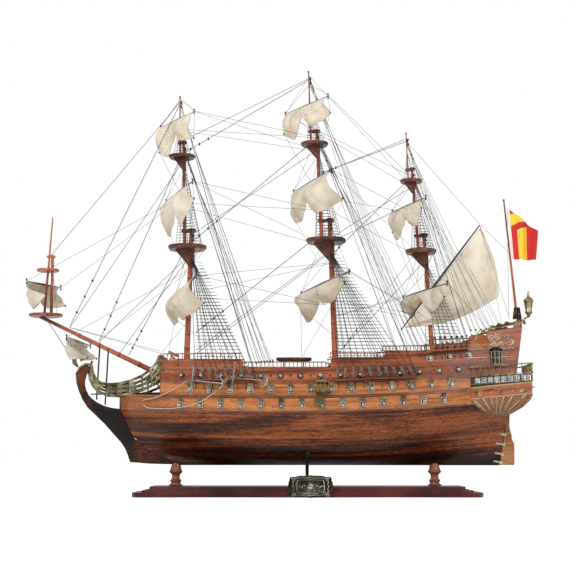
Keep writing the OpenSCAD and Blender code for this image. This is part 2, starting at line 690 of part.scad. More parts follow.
// ---------------------------------------------------------------- head
module head_rails() {
    top = [[-399, 3.6, 239], [-397, 4.4, 226], [-391, 6, 214], [-381, 9, 206], [-366, 15, 203],
        [-345, 24, 203.5], [-322, 34, 208], [-300, 44, 216.5], [-284, 51, 227], [-272, 56, 240],
        [-266, 59, 253]];
    low = [[-402, 3.6, 228], [-400, 4.6, 213], [-394, 6.2, 201], [-384, 9, 190], [-368, 13, 183.5],
        [-346, 20, 182.5], [-322, 30, 185], [-298, 43, 191], [-280, 53, 199.5], [-267, 60, 212],
        [-258, 66.6, 229]];
    mid = [for (i = [0:10]) lerp(low[i], top[i], 0.68)];
    mid2 = [for (i = [0:10]) lerp(low[i], top[i], 0.36)];
    color("#8c7f5a")
        for (s = [-1, 1]) {
            for (r = [top, mid, mid2, low])
                sweep([for (p = r) [p[0], s * p[1], p[2]]], box2(2.6, 4.6));
            for (i = [2, 4, 5, 6, 7, 8])
                sweep([for (p = [top[i] + [0, 0, 2.6], mid[i], mid2[i], low[i] - [0, 0, 2.6]])
                    [p[0], s * (p[1] + 0.6), p[2]]], box2(3, 3.4), [1, 0, 0]);
        }
}

module beakhead() {
    plank_z = 184.6;
    half = [[-398, 3], [-380, 7.5], [-360, 13], [-340, 20], [-316, 31], [-296, 41], [-276, 51],
        [beak_x - 1.2, 56]];
    color("#7a3c20") {
        translate([0, 0, plank_z])
            linear_extrude(2)
                polygon(concat([for (p = half) [p[0], -p[1] + 0.4]],
                    [for (i = [len(half) - 1:-1:0]) [half[i][0], half[i][1] - 0.4]]));
        wall(beak_x - 1.1, 186.6, 254, 2.2, -2.6);
    }
    color("#8c7f5a")
        for (y = [-38, -22, 22, 38])
            translate([beak_x - 2.4, y, 187])
                cylinder(h = 50, r = 1.6);
}

module figurehead() {
    body = [[-424, 0, 236], [-430, 0, 243], [-431, 0, 251], [-426, 0, 256], [-419, 0, 255],
        [-416.5, 0, 250], [-419, 0, 246.5]];
    color("#6f6448") {
        sweep(body, ngon(3.6, 10), [0, 1, 0], [0.5, 1.2, 1.3, 1.1, 0.9, 0.7, 0.5]);
        for (s = [-1, 1])
            sweep([[-427, s * 3.6, 222], [-420, s * 4.6, 234], [-409, s * 5, 240.5],
                [-400, s * 4.8, 241], [-397, s * 4.4, 247]], ngon(1.8, 8), [0, 1, 0],
                [0.6, 1, 1.2, 1.1, 0.6]);
    }
}

module catheads() {
    color("#5c2a18")
        for (s = [-1, 1]) {
            rod([-232, s * 68, 250.5], [-246, s * 92, 256], 2.4);
            sweep([[-232, s * 72.6, 236], [-238, s * 80, 243], [-243, s * 86, 251]], box2(2.4, 3),
                [1, 0, 0]);
        }
}

// ---------------------------------------------------------------- decks
module forecastle_deck() {
    color("#b98552") deck(beak_x + 1.4, waist_x0 - 2.4, 238, 2, 8, 0.3);
}

module grating(x, y, z, l, w) {
    n = floor(l / 5);
    m = floor(w / 5);
    translate([x - l / 2, y - w / 2, z]) {
        difference() {
            cube([l, w, 2]);
            translate([1.4, 1.4, -1])
                cube([l - 2.8, w - 2.8, 4]);
        }
        for (i = [1:n - 1])
            translate([i * l / n - 0.5, 0.5, 0.4])
                cube([1, w - 1, 1.2]);
        for (j = [1:m - 1])
            translate([0.5, j * w / m - 0.5, 0.4])
                cube([l - 1, 1, 1.2]);
    }
}

module waist_deck() {
    color("#b98552") deck(waist_x0 - 2.2, waist_x1 + 2.2, 206, 2, 8, 0.3);
    color("#8a5632") {
        grating(-88, 0, 207.9, 30, 26);
        grating(-48, 0, 207.9, 30, 26);
        grating(4, 0, 207.9, 36, 26);
    }
}

module quarterdeck() {
    color("#b98552") {
        difference() {
            deck(waist_x1 + 0.2, quarter_x - 0.2, 234, 2, 6, 0.3);
            translate([on_line(main[0], main[1], 235)[0], 0, 230])
                cylinder(h = 9, r = main[6] + 0.4);
        }
        deck(quarter_x + 0.2, mizzen_x - 0.2, 246, 2, 6, 0.3);
    }
}

module poop_deck() {
    color("#b98552") {
        deck(mizzen_x + 0.2, poop_x + 9.8, 259, 2, 6, 0.3);
        deck(poop_x + 10, 378, 288, 2, 6, 0.3);
    }
}

module deck_bulkheads() {
    color("#8a4524") {
        wall(waist_x0 - 2.2, 208.1, 237.9, 2, 0.4);
        wall(waist_x1 + 0.1, 208.1, 233.9, 2, 0.4);
        wall(quarter_x - 2.3, 236.1, 247.8, 2, 0.4);
        wall(mizzen_x - 2.3, 248.1, 260.8, 2, 0.4);
        wall(poop_x + 8, 261.1, 287.9, 2, 0.4);
    }
    color("#8c7f5a")
        for (x = [waist_x0 + 0.6, waist_x1 - 0.6], y = steps(-42, 42, 6))
            translate([x, y, 208.1])
                cylinder(h = 25, r = 1.1);
}

// ---------------------------------------------------------------- guns and side fittings
low_ports = [for (i = [0:ports_per_row - 1]) let (x = lerp(-227, 242, i / (ports_per_row - 1)))
    [x, 161.5 + sheer(x)]];
mid_ports = [for (i = [0:ports_per_row - 1]) let (x = lerp(-209, 256, i / (ports_per_row - 1)))
    [x, 188.5 + sheer(x)]];
top_ports = [for (i = [0:round_ports - 1]) let (x = lerp(-225, 270, i / (round_ports - 1)))
    [x, 214 + sheer(x)]];
deck_ports = [[218.6, 246], [254.5, 249], [290, 252]];

module gunport_frames() {
    p = port_size;
    color("#9a9a92")
        for (s = [-1, 1], q = concat(low_ports, mid_ports, deck_ports))
            on_side(q[0], q[1], s, seam)
                rotate([-90, 0, 0])
                    linear_extrude(1.3)
                        difference() {
                            square(p, center = true);
                            square(p - 3.4, center = true);
                        }
}

module gunport_lids() {
    color("#8c7f5a")
        for (s = [-1, 1], q = concat(low_ports, mid_ports))
            on_side(q[0], q[1] + port_size / 2 + 0.3, s, 1.5)
                rotate([-28, 0, 0])
                    translate([-4.6, 0, 0.1])
                        cube([9.2, 0.9, 7]);
}

module gun_barrels() {
    r = barrel_r;
    profile = [[0, 0], [r, 0], [r, 3.6], [r + 0.5, 4.2], [r + 0.5, 5.2], [r, 5.6], [r * 0.5, 5.6],
        [r * 0.5, 4.4], [0, 4.4]];
    color("#b9b6aa")
        for (s = [-1, 1], q = concat(low_ports, mid_ports, top_ports, deck_ports))
            on_side(q[0], q[1] - 0.6, s, 0.2)
                rotate([-90, 0, 0])
                    rotate_extrude($fn = 16)
                        polygon(profile);
}

module port_wreaths() {
    color("#5e5640")
        for (s = [-1, 1], i = [0:round_ports - 1]) {
            q = top_ports[i];
            on_side(q[0], q[1], s, 1.3)
                rotate([-90, 0, 0])
                    rotate_extrude($fn = 20)
                        translate([4.3, 0])
                            circle(1.2, $fn = 8);
            if (i < round_ports - 1)
                on_side(q[0] + 17.7, q[1] + 0.6, s, seam)
                    rotate([-90, 0, 0])
                        cylinder(h = 1.4, r1 = 2, r2 = 1.2, $fn = 14);
        }
}

module entry_balconies() {
    z = 186.5;
    color("#8c7f5a")
        for (s = [-1, 1])
            on_side(26, z, s, 1.8) {
                translate([-13, 0, -2])
                    cube([26, 9, 2]);
                translate([-9, 0, -7])
                    cube([18, 5, 5.1]);
                for (x = [-11.4, -4, 4, 11.4])
                    translate([x, 7.6, -0.1])
                        cylinder(h = 15.2, r = 0.9);
                translate([-13, 0, 15])
                    cube([26, 9.4, 1.6]);
                translate([-10, 4, 18.3])
                    rotate([0, 90, 0])
                        cylinder(h = 20, r = 2.2);
                for (k = [0:4])
                    translate([2, -1.6 + k * 0.1, -13 - 4 * k])
                        cube([13, 2.2 - k * 0.1, 1.4]);
            }
}

// Channels: bow end x, stern end x, heights at both ends, number of shrouds, mast x, y, z.
rigs = [
    [-205, -90, 207.4, 206.6, 8, [-215.8, 5, 447]],
    [48, 196, 205.5, 212.5, 10, [45, 5.6, 458]],
    [224, 293, 259.6, 265, 6, [222, 4, 437]]
];
channel_out = 13.5;

module channels() {
    color("#b04a26")
        for (s = [-1, 1], r = rigs) {
            xs = steps(r[0], r[1], 6);
            inner = [for (x = xs) let (z = lerp(r[2], r[3], (x - r[0]) / (r[1] - r[0])))
                [for (k = [-1.1, 1.1]) [x, s * (skin_y(x, z) + seam), z + k]]];
            outer = [for (g = inner) [for (p = g) [p[0], p[1] + s * channel_out, p[2]]]];
            slab(outer, inner, s < 0);
        }
}

function shroud_x(r, i) = let (x = lerp(r[0] + 6, r[1] - 5, i / (r[4] - 1)),
    near = [for (q = concat(top_ports, deck_ports)) if (abs(q[0] - x) < 3.6) q[0]])
    len(near) == 0 ? x : near[0] + (x < near[0] ? -3.6 : 3.6);
function shroud_z(r, i) = lerp(r[2], r[3], (shroud_x(r, i) - r[0]) / (r[1] - r[0]));
function shroud_foot(r, i, s) = let (x = shroud_x(r, i), z = shroud_z(r, i))
    [x, s * (skin_y(x, z) + channel_out - 2.2), z + 1.2];
function shroud_head(r, i, s) =
    [r[5][0] + (i - r[4] / 2) * 0.35, s * r[5][1], r[5][2] - 1.1 * i];
function shroud_at(r, i, s, d) = let (a = shroud_foot(r, i, s), b = shroud_head(r, i, s))
    a + d * unit(b - a);

module deadeyes() {
    color("#191716")
        for (s = [-1, 1], r = rigs, i = [0:r[4] - 1]) {
            for (d = [3.2, 23])
                translate(shroud_at(r, i, s, d))
                    rotate([90, 0, 0])
                        cylinder(h = 2.4, r = 2.8, center = true, $fn = 16);
            a = shroud_foot(r, i, s);
            z = a[2] - 2.4;
            low = z - 15;
            rod([a[0], a[1], z], [a[0], s * (skin_y(a[0], low) + 1), low], 0.6);
        }
}

// ---------------------------------------------------------------- masts
// Each mast: lower foot, lower head, topmast foot and head, topgallant foot and head, radii.
fore = [[-223, 0, 240.1], [-215.8, 0, 492], [-228.4, 0, 446], [-233, 0, 662],
    [-239, 0, 622], [-241, 0, 751], 5.6, 3.6, 2.1];
main = [[54, 0, 208.1], [43.6, 0, 512], [29, 0, 460], [19.8, 0, 684],
    [9.2, 0, 646], [4.2, 0, 800], 6, 3.9, 2.2];
mizzen = [[232.4, 0, 261.1], [220, 0, 483], [210.4, 0, 440], [199, 0, 610],
    [192.6, 0, 576], [189, 0, 679], 4.4, 2.9, 1.7];
masts = [fore, main, mizzen];
tops = [
    [-223.6, 455, 36, 0], [36, 468, 37, 0], [214, 447.5, 29, 0],
    [-235.6, 630.5, 25, 1], [15.4, 655, 26, 1], [197.6, 583.4, 21, 1]
];
function rim_h(t) = t[3] == 0 ? 7.6 : 5.4;
function on_line(a, b, z) = lerp(a, b, (z - a[2]) / (b[2] - a[2]));

module lower_mast(m) {
    color("#9a4a2e") rod(m[0], m[1], m[6], m[6] * 0.74);
    color("#1d1513")
        for (z = [m[0][2] + 30 : 26 : m[1][2] - 70]) {
            c = on_line(m[0], m[1], z);
            k = (z - m[0][2]) / (m[1][2] - m[0][2]);
            translate(c)
                cylinder(h = 2.2, r = m[6] * (1 - 0.26 * k) + 0.35);
        }
}

module fore_mast() {
    lower_mast(fore);
}

module main_mast() {
    lower_mast(main);
}

module mizzen_mast() {
    lower_mast(mizzen);
}

module topmasts() {
    color("#9a4a2e")
        for (m = masts) {
            rod(m[2], m[3], m[7], m[7] * 0.72);
            translate(m[2])
                cylinder(h = 5, r = m[7] + 0.6);
        }
}

module topgallant_masts() {
    color("#9a4a2e")
        for (m = masts) {
            rod(m[4], m[5], m[8], m[8] * 0.55);
            translate(m[5])
                sphere(2.1, $fn = 16);
        }
}

module mast_tops() {
    for (i = [0:5]) {
        t = tops[i];
        m = masts[i % 3];
        r = t[2];
        low = t[3] == 0;
        rim = rim_h(t);
        a = low ? on_line(m[0], m[1], t[1]) : on_line(m[2], m[3], t[1]);
        b = low ? on_line(m[2], m[3], t[1]) : on_line(m[4], m[5], t[1]);
        ra = (low ? m[6] : m[7]) + 0.8;
        rb = (low ? m[7] : m[8]) + 0.8;
        head = low ? m[1] : m[3];
        above = low ? on_line(m[2], m[3], head[2]) : on_line(m[4], m[5], head[2]);
        color("#7a4a30")
            translate([t[0], 0, t[1]])
                difference() {
                    rotate_extrude($fn = 40)
                        polygon([[0, 0], [r * 0.93, 0], [r * 0.96, rim * 0.4], [r, rim * 0.5], [r, rim],
                            [r - 1.4, rim], [r * 0.9, 1.6], [0, 1.6]]);
                    translate([a[0] - t[0], 0, -1])
                        cylinder(h = 4, r = ra);
                    translate([b[0] - t[0], 0, -1])
                        cylinder(h = 4, r = rb);
                }
        color("#1f1815") {
            for (s = [-1, 1])
                translate([0, s * (ra + 1.1), t[1]])
                    rotate([90, 0, 0])
                        linear_extrude(1.6, center = true)
                            polygon([[a[0] + ra, -0.1], [t[0] - r * 0.62, -0.1], [t[0] - r * 0.5, -r * 0.14],
                                [a[0] - ra * 0.4, -r * 0.9], [a[0] + ra, -r * 0.9]]);
            translate([0, 0, head[2] - 3.6])
                difference() {
                    union() {
                        translate([head[0], 0, 0])
                            cylinder(h = 4.6, r = ra + 1.2);
                        translate([above[0], 0, 0])
                            cylinder(h = 4.6, r = rb + 1.6);
                        translate([above[0], -rb - 1.2, 0])
                            cube([head[0] - above[0], 2 * rb + 2.4, 4.6]);
                    }
                    translate([head[0], 0, -1])
                        cylinder(h = 7, r = (low ? m[6] : m[7]) * 0.74 + 0.25);
                    translate([above[0], 0, -1])
                        cylinder(h = 7, r = (low ? m[7] : m[8]) + 0.1);
                }
        }
    }
}

sprit_foot = [-262.8, 0, 217.8];
sprit_tip = [-496, 0, 329.2];

module bowsprit() {
    color("#9a4a2e") rod(sprit_foot + [-3, 0, 1.4], sprit_tip, 5.2, 3.2);
    color("#1d1513")
        for (t = [0.2, 0.36, 0.52, 0.68])
            rod(lerp(sprit_foot, sprit_tip, t), lerp(sprit_foot, sprit_tip, t + 0.012),
                5.7 - 1.9 * t, 5.7 - 1.9 * t);
}

module sprit_topmast() {
    color("#9a4a2e") {
        rod([-475.5, 0, 331.1], [-475.5, 0, 446], 2.8, 2.4);
        rod([-488.6, 0, 331.1], [-477.4, 0, 517], 2.4, 1.3);
    }
    color("#7a4a30") {
        translate([-485.6, 0, 329])
            rotate_extrude($fn = 36)
                polygon([[0, 0], [28.6, 0], [31, 1.4], [31, 5], [29.8, 5], [29.2, 1.8], [0, 1.8]]);
        translate([-484, 0, 414])
            difference() {
                rotate_extrude($fn = 30)
                    polygon([[0, 0], [19, 0], [20.6, 1], [20.6, 4.4], [19.6, 4.4], [19, 1.5], [0, 1.5]]);
                translate([-3, -3, -1])
                    cube([15, 6, 4]);
            }
    }
    color("#1f1815")
        translate([-486, -3.6, 440])
            difference() {
                cube([15, 7.2, 4]);
                translate([10.5, 3.6, -1])
                    cylinder(h = 6, r = 2.55);
                translate([3.9, 3.6, -1])
                    cylinder(h = 6, r = 2.1);
            }
}

// ---------------------------------------------------------------- yards and sails
// Square yards: centre x, height, length, brace angle, middle radius, then the drop of the sail.
yards_fore = [[-227.3, 386, 300, 12.5, 3, 66], [-241, 566, 200, 20, 2.2, 88],
    [-246, 706, 140, 33, 1.6, 66]];
yards_main = [[31.5, 392, 320, 15, 3.2, 60], [10, 586, 204, 20, 2.4, 92],
    [-0.4, 734, 150, 33, 1.7, 64]];
yards_mizzen = [[219.2, 378, 220, 16, 2.4, 42], [192, 541, 150, 20, 1.8, 70]];
yards_sprit = [[-423, 282.7, 190, -4, 2.2, 42], [-490.6, 390, 104, -27, 1.6, 50]];
lateen_foot = [174, -8.4, 303];
lateen_peak = [324, -8.4, 501];
lateen_clew = [356, -8.4, 366];

function yard_end(q, s) = [q[0] - s * sin(q[3]) * q[2] / 2, s * cos(q[3]) * q[2] / 2, q[1]];

module square_yards() {
    color("#2a1712")
        for (q = concat(yards_fore, yards_main, yards_mizzen, yards_sprit))
            spar(yard_end(q, -1), yard_end(q, 1), q[4], q[4] * 0.45);
}

module lateen_yard() {
    color("#3a1e14") spar(lateen_foot, lateen_peak, 2.6, 1.1);
}

// A square sail hung under its yard, hauled up so that the foot arches between the clews.
function sail_point(q, u, v) =
    let (a = q[3], half = q[2] / 2 * 0.9, along = u * half * (1 - 0.12 * v),
        drop = q[5] * v * (abs(u) < 0.5 ? 0.42 + 0.58 * sin(180 * abs(u)) : 1.1 - 0.4 * u * u),
        belly = q[5] * (0.36 * sin(150 * v) * (1 - 0.45 * u * u) - 0.3 * v * max(0, abs(u) - 0.6)),
        fwd = q[4] * (1 - 0.5 * abs(u)) * 0.2 + 0.6 + belly)
    [q[0] - sin(a) * along - cos(a) * fwd, cos(a) * along - sin(a) * fwd,
     q[1] - q[4] * (1 - 0.5 * abs(u)) - 0.7 - drop];

module square_sail(q) {
    us = steps(-1, 1, 10);
    vs = steps(0, 1, 5);
    back = [for (u = us) [for (v = [1, 0.8, 0.6, 0.4, 0.2, 0]) sail_point(q, u, v)]];
    shift = [-cos(q[3]) * cloth, -sin(q[3]) * cloth, 0];
    slab(back, [for (r = back) [for (p = r) p + shift]], true);
}

module fore_sails() {
    color("#e8dcc4")
        for (q = yards_fore) square_sail(q);
}

module main_sails() {
    color("#e8dcc4")
        for (q = yards_main) square_sail(q);
}

module mizzen_sails() {
    color("#e8dcc4") {
        for (q = yards_mizzen) square_sail(q);
        n = 10;
        head = function(t) lerp(lateen_foot, lateen_peak, 0.04 + 0.92 * t) + [3.1, 0, -2.4];
        outer = function(t) t < 0.55
            ? lerp(lateen_foot, lateen_clew, 0.1 + 0.9 * t / 0.55) + [0, 0, -14 * sin(180 * t / 0.55)]
            : lerp(lateen_clew, lateen_peak, 0.95 * (t - 0.55) / 0.45)
                + [9 * sin(180 * (t - 0.55) / 0.45), 0, 0];
        rows = [for (i = [0:n]) [for (j = [0:4])
            lerp(head(i / n), outer(i / n), j / 4)
            + [0, -10 * sin(180 * j / 4) * sin(180 * i / n), 0]]];
        slab([for (r = rows) [for (p = r) p + [0, cloth / 2, 0]]],
            [for (r = rows) [for (p = r) p - [0, cloth / 2, 0]]], true);
    }
}

module sprit_sails() {
    color("#e8dcc4")
        for (q = yards_sprit) square_sail(q);
}

// ---------------------------------------------------------------- rigging
module shrouds() {
    color("#2b2926")
        for (s = [-1, 1]) {
            for (r = rigs, i = [0:r[4] - 1]) {
                rod(shroud_at(r, i, s, 25.6), shroud_head(r, i, s), rope_r, rope_r);
                for (k = [-1, 1])
                    rod(shroud_at(r, i, s, 5.8) + [k * 0.9, 0, 0],
                        shroud_at(r, i, s, 20.4) + [k * 0.9, 0, 0], line_r, line_r);
            }
            for (j = [0:2]) {
                t = tops[j];
                m = masts[j];
                up = tops[j + 3];
                c = on_line(m[2], m[3], up[1] - 6);
                g = on_line(m[4], m[5], lerp(m[4][2], m[5][2], 0.62));
                f = on_line(m[0], m[1], t[1] - t[2] * 0.9);
                for (i = [0:3]) {
                    a = 42 + 26 * i;
                    rim = [t[0] + (t[2] + 0.7) * cos(a), s * (t[2] + 0.7) * sin(a), t[1] + rim_h(t)];
                    rod(rim, c + [0, s * (m[7] * 0.8), -1.2 * i], rope_r * 0.8, rope_r * 0.8);
                    rod(f + [0, s * (m[6] * 0.9), -1.2 * i], rim + [0, s * 0.4, -rim_h(t)], line_r, line_r);
                }
                for (i = [0:2]) {
                    a = 50 + 36 * i;
                    rim = [up[0] + (up[2] + 0.7) * cos(a), s * (up[2] + 0.7) * sin(a),
                        up[1] + rim_h(up)];
                    rod(rim, g + [0, s * m[8] * 0.8, -1.2 * i], line_r, line_r);
                }
            }
        }
}

// Standing stays and backstays, then the braces and lifts of the yards.
module stays() {
    color("#2b2926") {
        pairs = [
            [[-221.5, 0, 440], [-346, 0, 262.5]], [[-221.8, 0, 444], [-386, 0, 281]],
            [[-235.6, 0, 622], [-441, 0, 308]], [[-242.4, 0, 738], [-480.5, 0, 443]],
            [[38.6, 0, 446], [-206, 0, 260]], [[38.8, 0, 450], [-204, 0, 268]],
            [[17.6, 0, 645], [-210, 0, 488]], [[3, 0, 786], [-236, 0, 664]],
            [[217, 0, 430], [58.6, 0, 262]], [[197, 0, 575], [49, 0, 480]],
            [[187.6, 0, 668], [24, 0, 600]]
        ];
        for (p = pairs)
            rod(p[0], p[1], rope_r, rope_r);
        for (s = [-1, 1]) {
            for (j = [0:2]) {
                r = rigs[j];
                m = masts[j];
                up = on_line(m[2], m[3], m[3][2] - 8);
                tip = on_line(m[4], m[5], m[5][2] - 6);
                for (i = [0:1]) {
                    x = r[1] - 2 + 1.5 * i;
                    y = skin_y(x, r[3]) + channel_out - 4.5 - 3 * i;
                    rod([x, s * y, r[3] + 1.4], up + [0.5, s * (m[7] * 0.75), -3 * i], line_r, line_r);
                }
                rod([r[1] - 3.4, s * (skin_y(r[1] - 3, r[3]) + 2), r[3] + 1.4],
                    tip + [0.4, s * m[8] * 0.6, 0], line_r, line_r);
            }
            for (q = yards_fore) {
                e = yard_end(q, s);
                rod(e, on_line(main[0], main[3], clamp(e[2] - 34, 300, 676)) + [-8, s * 3, 0],
                    line_r, line_r);
                rod(e + [0, 0, 1.4], [q[0] + 6, s * 4, q[1] + 42], line_r, line_r);
            }
            for (q = yards_main) {
                e = yard_end(q, s);
                rod(e, on_line(mizzen[0], mizzen[3], clamp(e[2] - 60, 300, 600)) + [-8, s * 3, 0],
                    line_r, line_r);
                rod(e + [0, 0, 1.4], [q[0] + 6, s * 4, q[1] + 42], line_r, line_r);
            }
            for (q = yards_mizzen) {
                e = yard_end(q, s);
                rod(e, [e[0] + 80, s * 46, 300], line_r, line_r);
                rod(e + [0, 0, 1.4], [q[0] + 5, s * 3, q[1] + 36], line_r, line_r);
            }
            rod([-478, s * 3, 440], [-470, s * 26, 339], line_r, line_r);
            rod([-478, s * 3, 438], [-484, s * 28, 339], line_r, line_r);
            rod([-440, s * 4, 309], [-268, s * 38, 262], line_r, line_r);
            rod([-484, s * 2, 324], [-424, s * 4, 236], line_r, line_r);
            for (x = [-372, -388])
                rod([x, s * 3.9, 166 + (-372 - x) * 0.6],
                    [x + 4, s * 4.6, 270 - (x + 372) * 0.48], 0.8, 0.8);
        }
        rod(lateen_peak + [0, 0, 2], [189.4, 0, 664], line_r, line_r);
        rod(lateen_peak + [2, 0, 0], [376, 0, 452], line_r, line_r);
    }
}

// ---------------------------------------------------------------- anchors and boat
// One anchor with its ring at the origin, the shank running to +X, the arms in the X-Z plane.
module anchor(l) {
    color("#2b2a28") {
        rod([2, 0, 0], [l, 0, 0], 1, 1.4);
        sweep([[l - 13, 0, 14.5], [l - 6, 0, 10.5], [l - 1, 0, 5], [l, 0, 0], [l - 1, 0, -5],
            [l - 6, 0, -10.5], [l - 13, 0, -14.5]], ngon(1.3, 8), [0, 1, 0],
            [0.6, 0.9, 1.1, 1.2, 1.1, 0.9, 0.6]);
        for (k = [-1, 1])
            translate([l - 9, 0, k * 11.6])
                rotate([0, k * 42, 0])
                    cube([7, 6, 0.9], center = true);
        rotate([90, 0, 0])
            rotate_extrude($fn = 20)
                translate([2.6, 0])
                    circle(0.55, $fn = 8);
    }
    color("#c9c2b4")
        translate([6.4, 0, 0])
            rotate([0, 0, 0])
                for (k = [0, 180])
                    rotate([k, 0, 0])
                        cylinder(h = 26, r1 = 1.9, r2 = 1);
}

anchor_spots = [[-138, 211, 67], [-211, 206, 62]];

module anchors() {
    for (s = [-1, 1], k = [0:1]) {
        a = anchor_spots[k];
        y = skin_y(a[0], a[1]) + channel_out + 4.4;
        y2 = skin_y(a[0] + a[2], a[1] - 7) + channel_out + 3.6;
        translate([a[0], s * y, a[1]])
            rotate([0, 6, s * atan2(y2 - y, a[2])])
                anchor(a[2]);
    }
}

function cable_path(s, k) =
    k == 0
    ? [for (p = [[-297, 171, 1.4], [-292, 173, 4], [-280, 175, 4], [-262, 180, 4], [-244, 188, 4],
        [-228, 197, 6], [-215.4, 204.6, 12.6]]) [p[0], s * (skin_y(p[0], p[1]) + p[2]), p[1]]]
    : [for (p = [[-295, 165, 1.4], [-290, 160, 3.6], [-280, 157.6, 4], [-248, 156.6, 4],
        [-215, 160, 7.4], [-190, 168, 8], [-165, 184, 9], [-150, 198, 12], [-142.6, 208.4, 13.6]])
        [p[0], s * (skin_y(p[0], p[1]) + p[2]), p[1]]];

module anchor_cables() {
    color("#cdbfae")
        for (s = [-1, 1], k = [0:1])
            sweep(cable_path(s, k), ngon(0.9, 8));
}

module ships_boat() {
    l = 68;
    w = 20;
    h = 11;
    ts = [0.02, 0.1, 0.25, 0.45, 0.65, 0.82, 0.93, 0.98];
    keel_line = function(t) 1 + 4 * pow(abs(2 * t - 1), 3);
    half = function(t) w / 2 * pow(sin(180 * clamp(t * 0.93 + 0.035, 0, 1)), 0.6);
    rings = [for (t = ts)
        let (x = l * (t - 0.5), b = half(t), z = keel_line(t))
        [[x, -b, h], [x, -b * 0.86, z + 4.4], [x, -b * 0.4, z + 1], [x, b * 0.4, z + 1],
         [x, b * 0.86, z + 4.4], [x, b, h],
         [x, b - 1.4, h], [x, b * 0.8 - 1.2, z + 4.8], [x, 0, z + 2.4],
         [x, -b * 0.8 + 1.2, z + 4.8], [x, -b + 1.4, h]]];
    translate([-24, 0, 242]) {
        color("#33221b") {
            slab([for (r = rings) [for (i = [5:-1:0]) r[i]]],
                [for (r = rings) [r[6], r[7], lerp(r[7], r[8], 0.6), lerp(r[9], r[8], 0.6), r[9], r[10]]],
                true);
            for (x = [-18, -2, 14])
                translate([x, -w / 2 + 1.6, 7.4])
                    cube([4, w - 3.2, 1.2]);
        }
        color("#6b3a22")
            for (x = [-20, 16])
                translate([x, 0, 0])
                    rotate([90, 0, 90])
                        linear_extrude(2.4)
                            polygon([[-7, -33.9], [-5, -33.9], [-5, -3], [5, -3], [5, -33.9], [7, -33.9],
                                [7, 3.6], [3, 1.2], [-3, 1.2], [-7, 3.6]]);
    }
}

// ---------------------------------------------------------------- rudder
// The hinge line runs up the sternpost: local z along it, local x aft.
hinge_off = 2.9;
hinge_tilt = atan(post_rake);
gudgeon_at = [4, 19, 37, 55];
gudgeon_h = 3;

module on_hinge() {
    translate([stern_x(keel_z) + hinge_off, 0, keel_z])
        rotate([0, hinge_tilt, 0])
            children();
}

module rudder_blade() {
    half = 2.2;
    color("#7a4a26")
        on_hinge()
            difference() {
                union() {
                    translate([0, 0, 0.6])
                        cylinder(h = 103, r = half);
                    rotate([90, 0, 0])
                        translate([0, 0, -half])
                            linear_extrude(2 * half)
                                polygon([[0, 0.6], [24.2, 4.5], [24.8, 8], [19.5, 42], [17, 46], [14, 50],
                                    [12.4, 58], [8.4, 66], [6, 74], [4, 90], [2.2, 103.6], [0, 103.6]]);
                }
                for (z = gudgeon_at)
                    translate([-5, -5, z - 0.6])
                        cube([8, 10, gudgeon_h + 1.6]);
            }
}

module rudder_pintles() {
    out = 2.75;
    color("#b08d57")
        on_hinge()
            for (i = [0:3]) {
                z = gudgeon_at[i] + gudgeon_h + 1.05;
                reach = [17, 15, 13, 9][i];
                difference() {
                    union() {
                        translate([0, 0, z])
                            cylinder(h = 2.6, r = out);
                        translate([0, -out, z])
                            cube([reach, 2 * out, 2.6]);
                    }
                    translate([0, 0, z - 1])
                        cylinder(h = 5, r = 2.25);
                    translate([0, -2.25, z - 1])
                        cube([40, 4.5, 5]);
                }
                translate([0, 0, z - 0.45])
                    cylinder(h = 0.4, r = 2.5);
                translate([0, 0, z - gudgeon_h - 0.9])
                    cylinder(h = gudgeon_h + 0.8, r = pintle_r);
            }
}

module gudgeons() {
    color("#b9b2a0")
        for (i = [0:3]) {
            z0 = gudgeon_at[i];
            on_hinge() {
                difference() {
                    union() {
                        translate([0, 0, z0])
                            cylinder(h = gudgeon_h, r = 1.9);
                        translate([-hinge_off - 0.4, -3.3, z0])
                            cube([2.2, 6.6, gudgeon_h]);
                        translate([-hinge_off, -1.5, z0])
                            cube([2.6, 3, gudgeon_h]);
                    }
                    translate([0, 0, z0 - 1])
                        cylinder(h = gudgeon_h + 2, r = pintle_r + pintle_gap);
                }
                for (s = [-1, 1])
                    hull_arm(z0, s);
            }
        }
}

// A gudgeon strap that follows the side of the hull forward from the sternpost.
module hull_arm(z0, s) {
    z = keel_z + z0 * cos(hinge_tilt) + 1.5;
    xs = [-hinge_off - 0.2, -hinge_off - 5, -hinge_off - 11];
    ys = [for (x = xs) side_y(stern_x(z) + hinge_off + x, z)];
    inner = [for (i = [0:2]) [xs[i], max(ys[i], 3.9) - 0.1]];
    outer = [for (i = [2:-1:0]) [xs[i], max(ys[i], 3.9) + 0.7]];
    translate([0, 0, z0])
        linear_extrude(gudgeon_h)
            polygon([for (p = concat(inner, outer)) [p[0], s * p[1]]]);
}

stand_base();
stand_pedestals();
cradle_bracket();
nameplate();
keel_and_stem();
bottom_planking_port();
bottom_planking_starboard();
lower_topside_port();
lower_topside_starboard();
upper_topside_port();
upper_topside_starboard();
wales();
cap_rails();
transom();
quarter_galleries();
gallery_windows();
gallery_rails();
taffrail();
stern_lantern();
head_rails();
beakhead();
figurehead();
forecastle_deck();
waist_deck();
quarterdeck();
poop_deck();
deck_bulkheads();
deck_rails();
gunport_frames();
gunport_lids();
gun_barrels();
port_wreaths();
entry_balconies();
channels();
deadeyes();
catheads();
anchors();
anchor_cables();
ships_boat();
fore_mast();
main_mast();
mizzen_mast();
topmasts();
topgallant_masts();
mast_tops();
bowsprit();
sprit_topmast();
square_yards();
lateen_yard();
fore_sails();
main_sails();
mizzen_sails();
sprit_sails();
shrouds();
stays();
flagstaff();
flag();
rudder_blade();
rudder_pintles();
gudgeons();
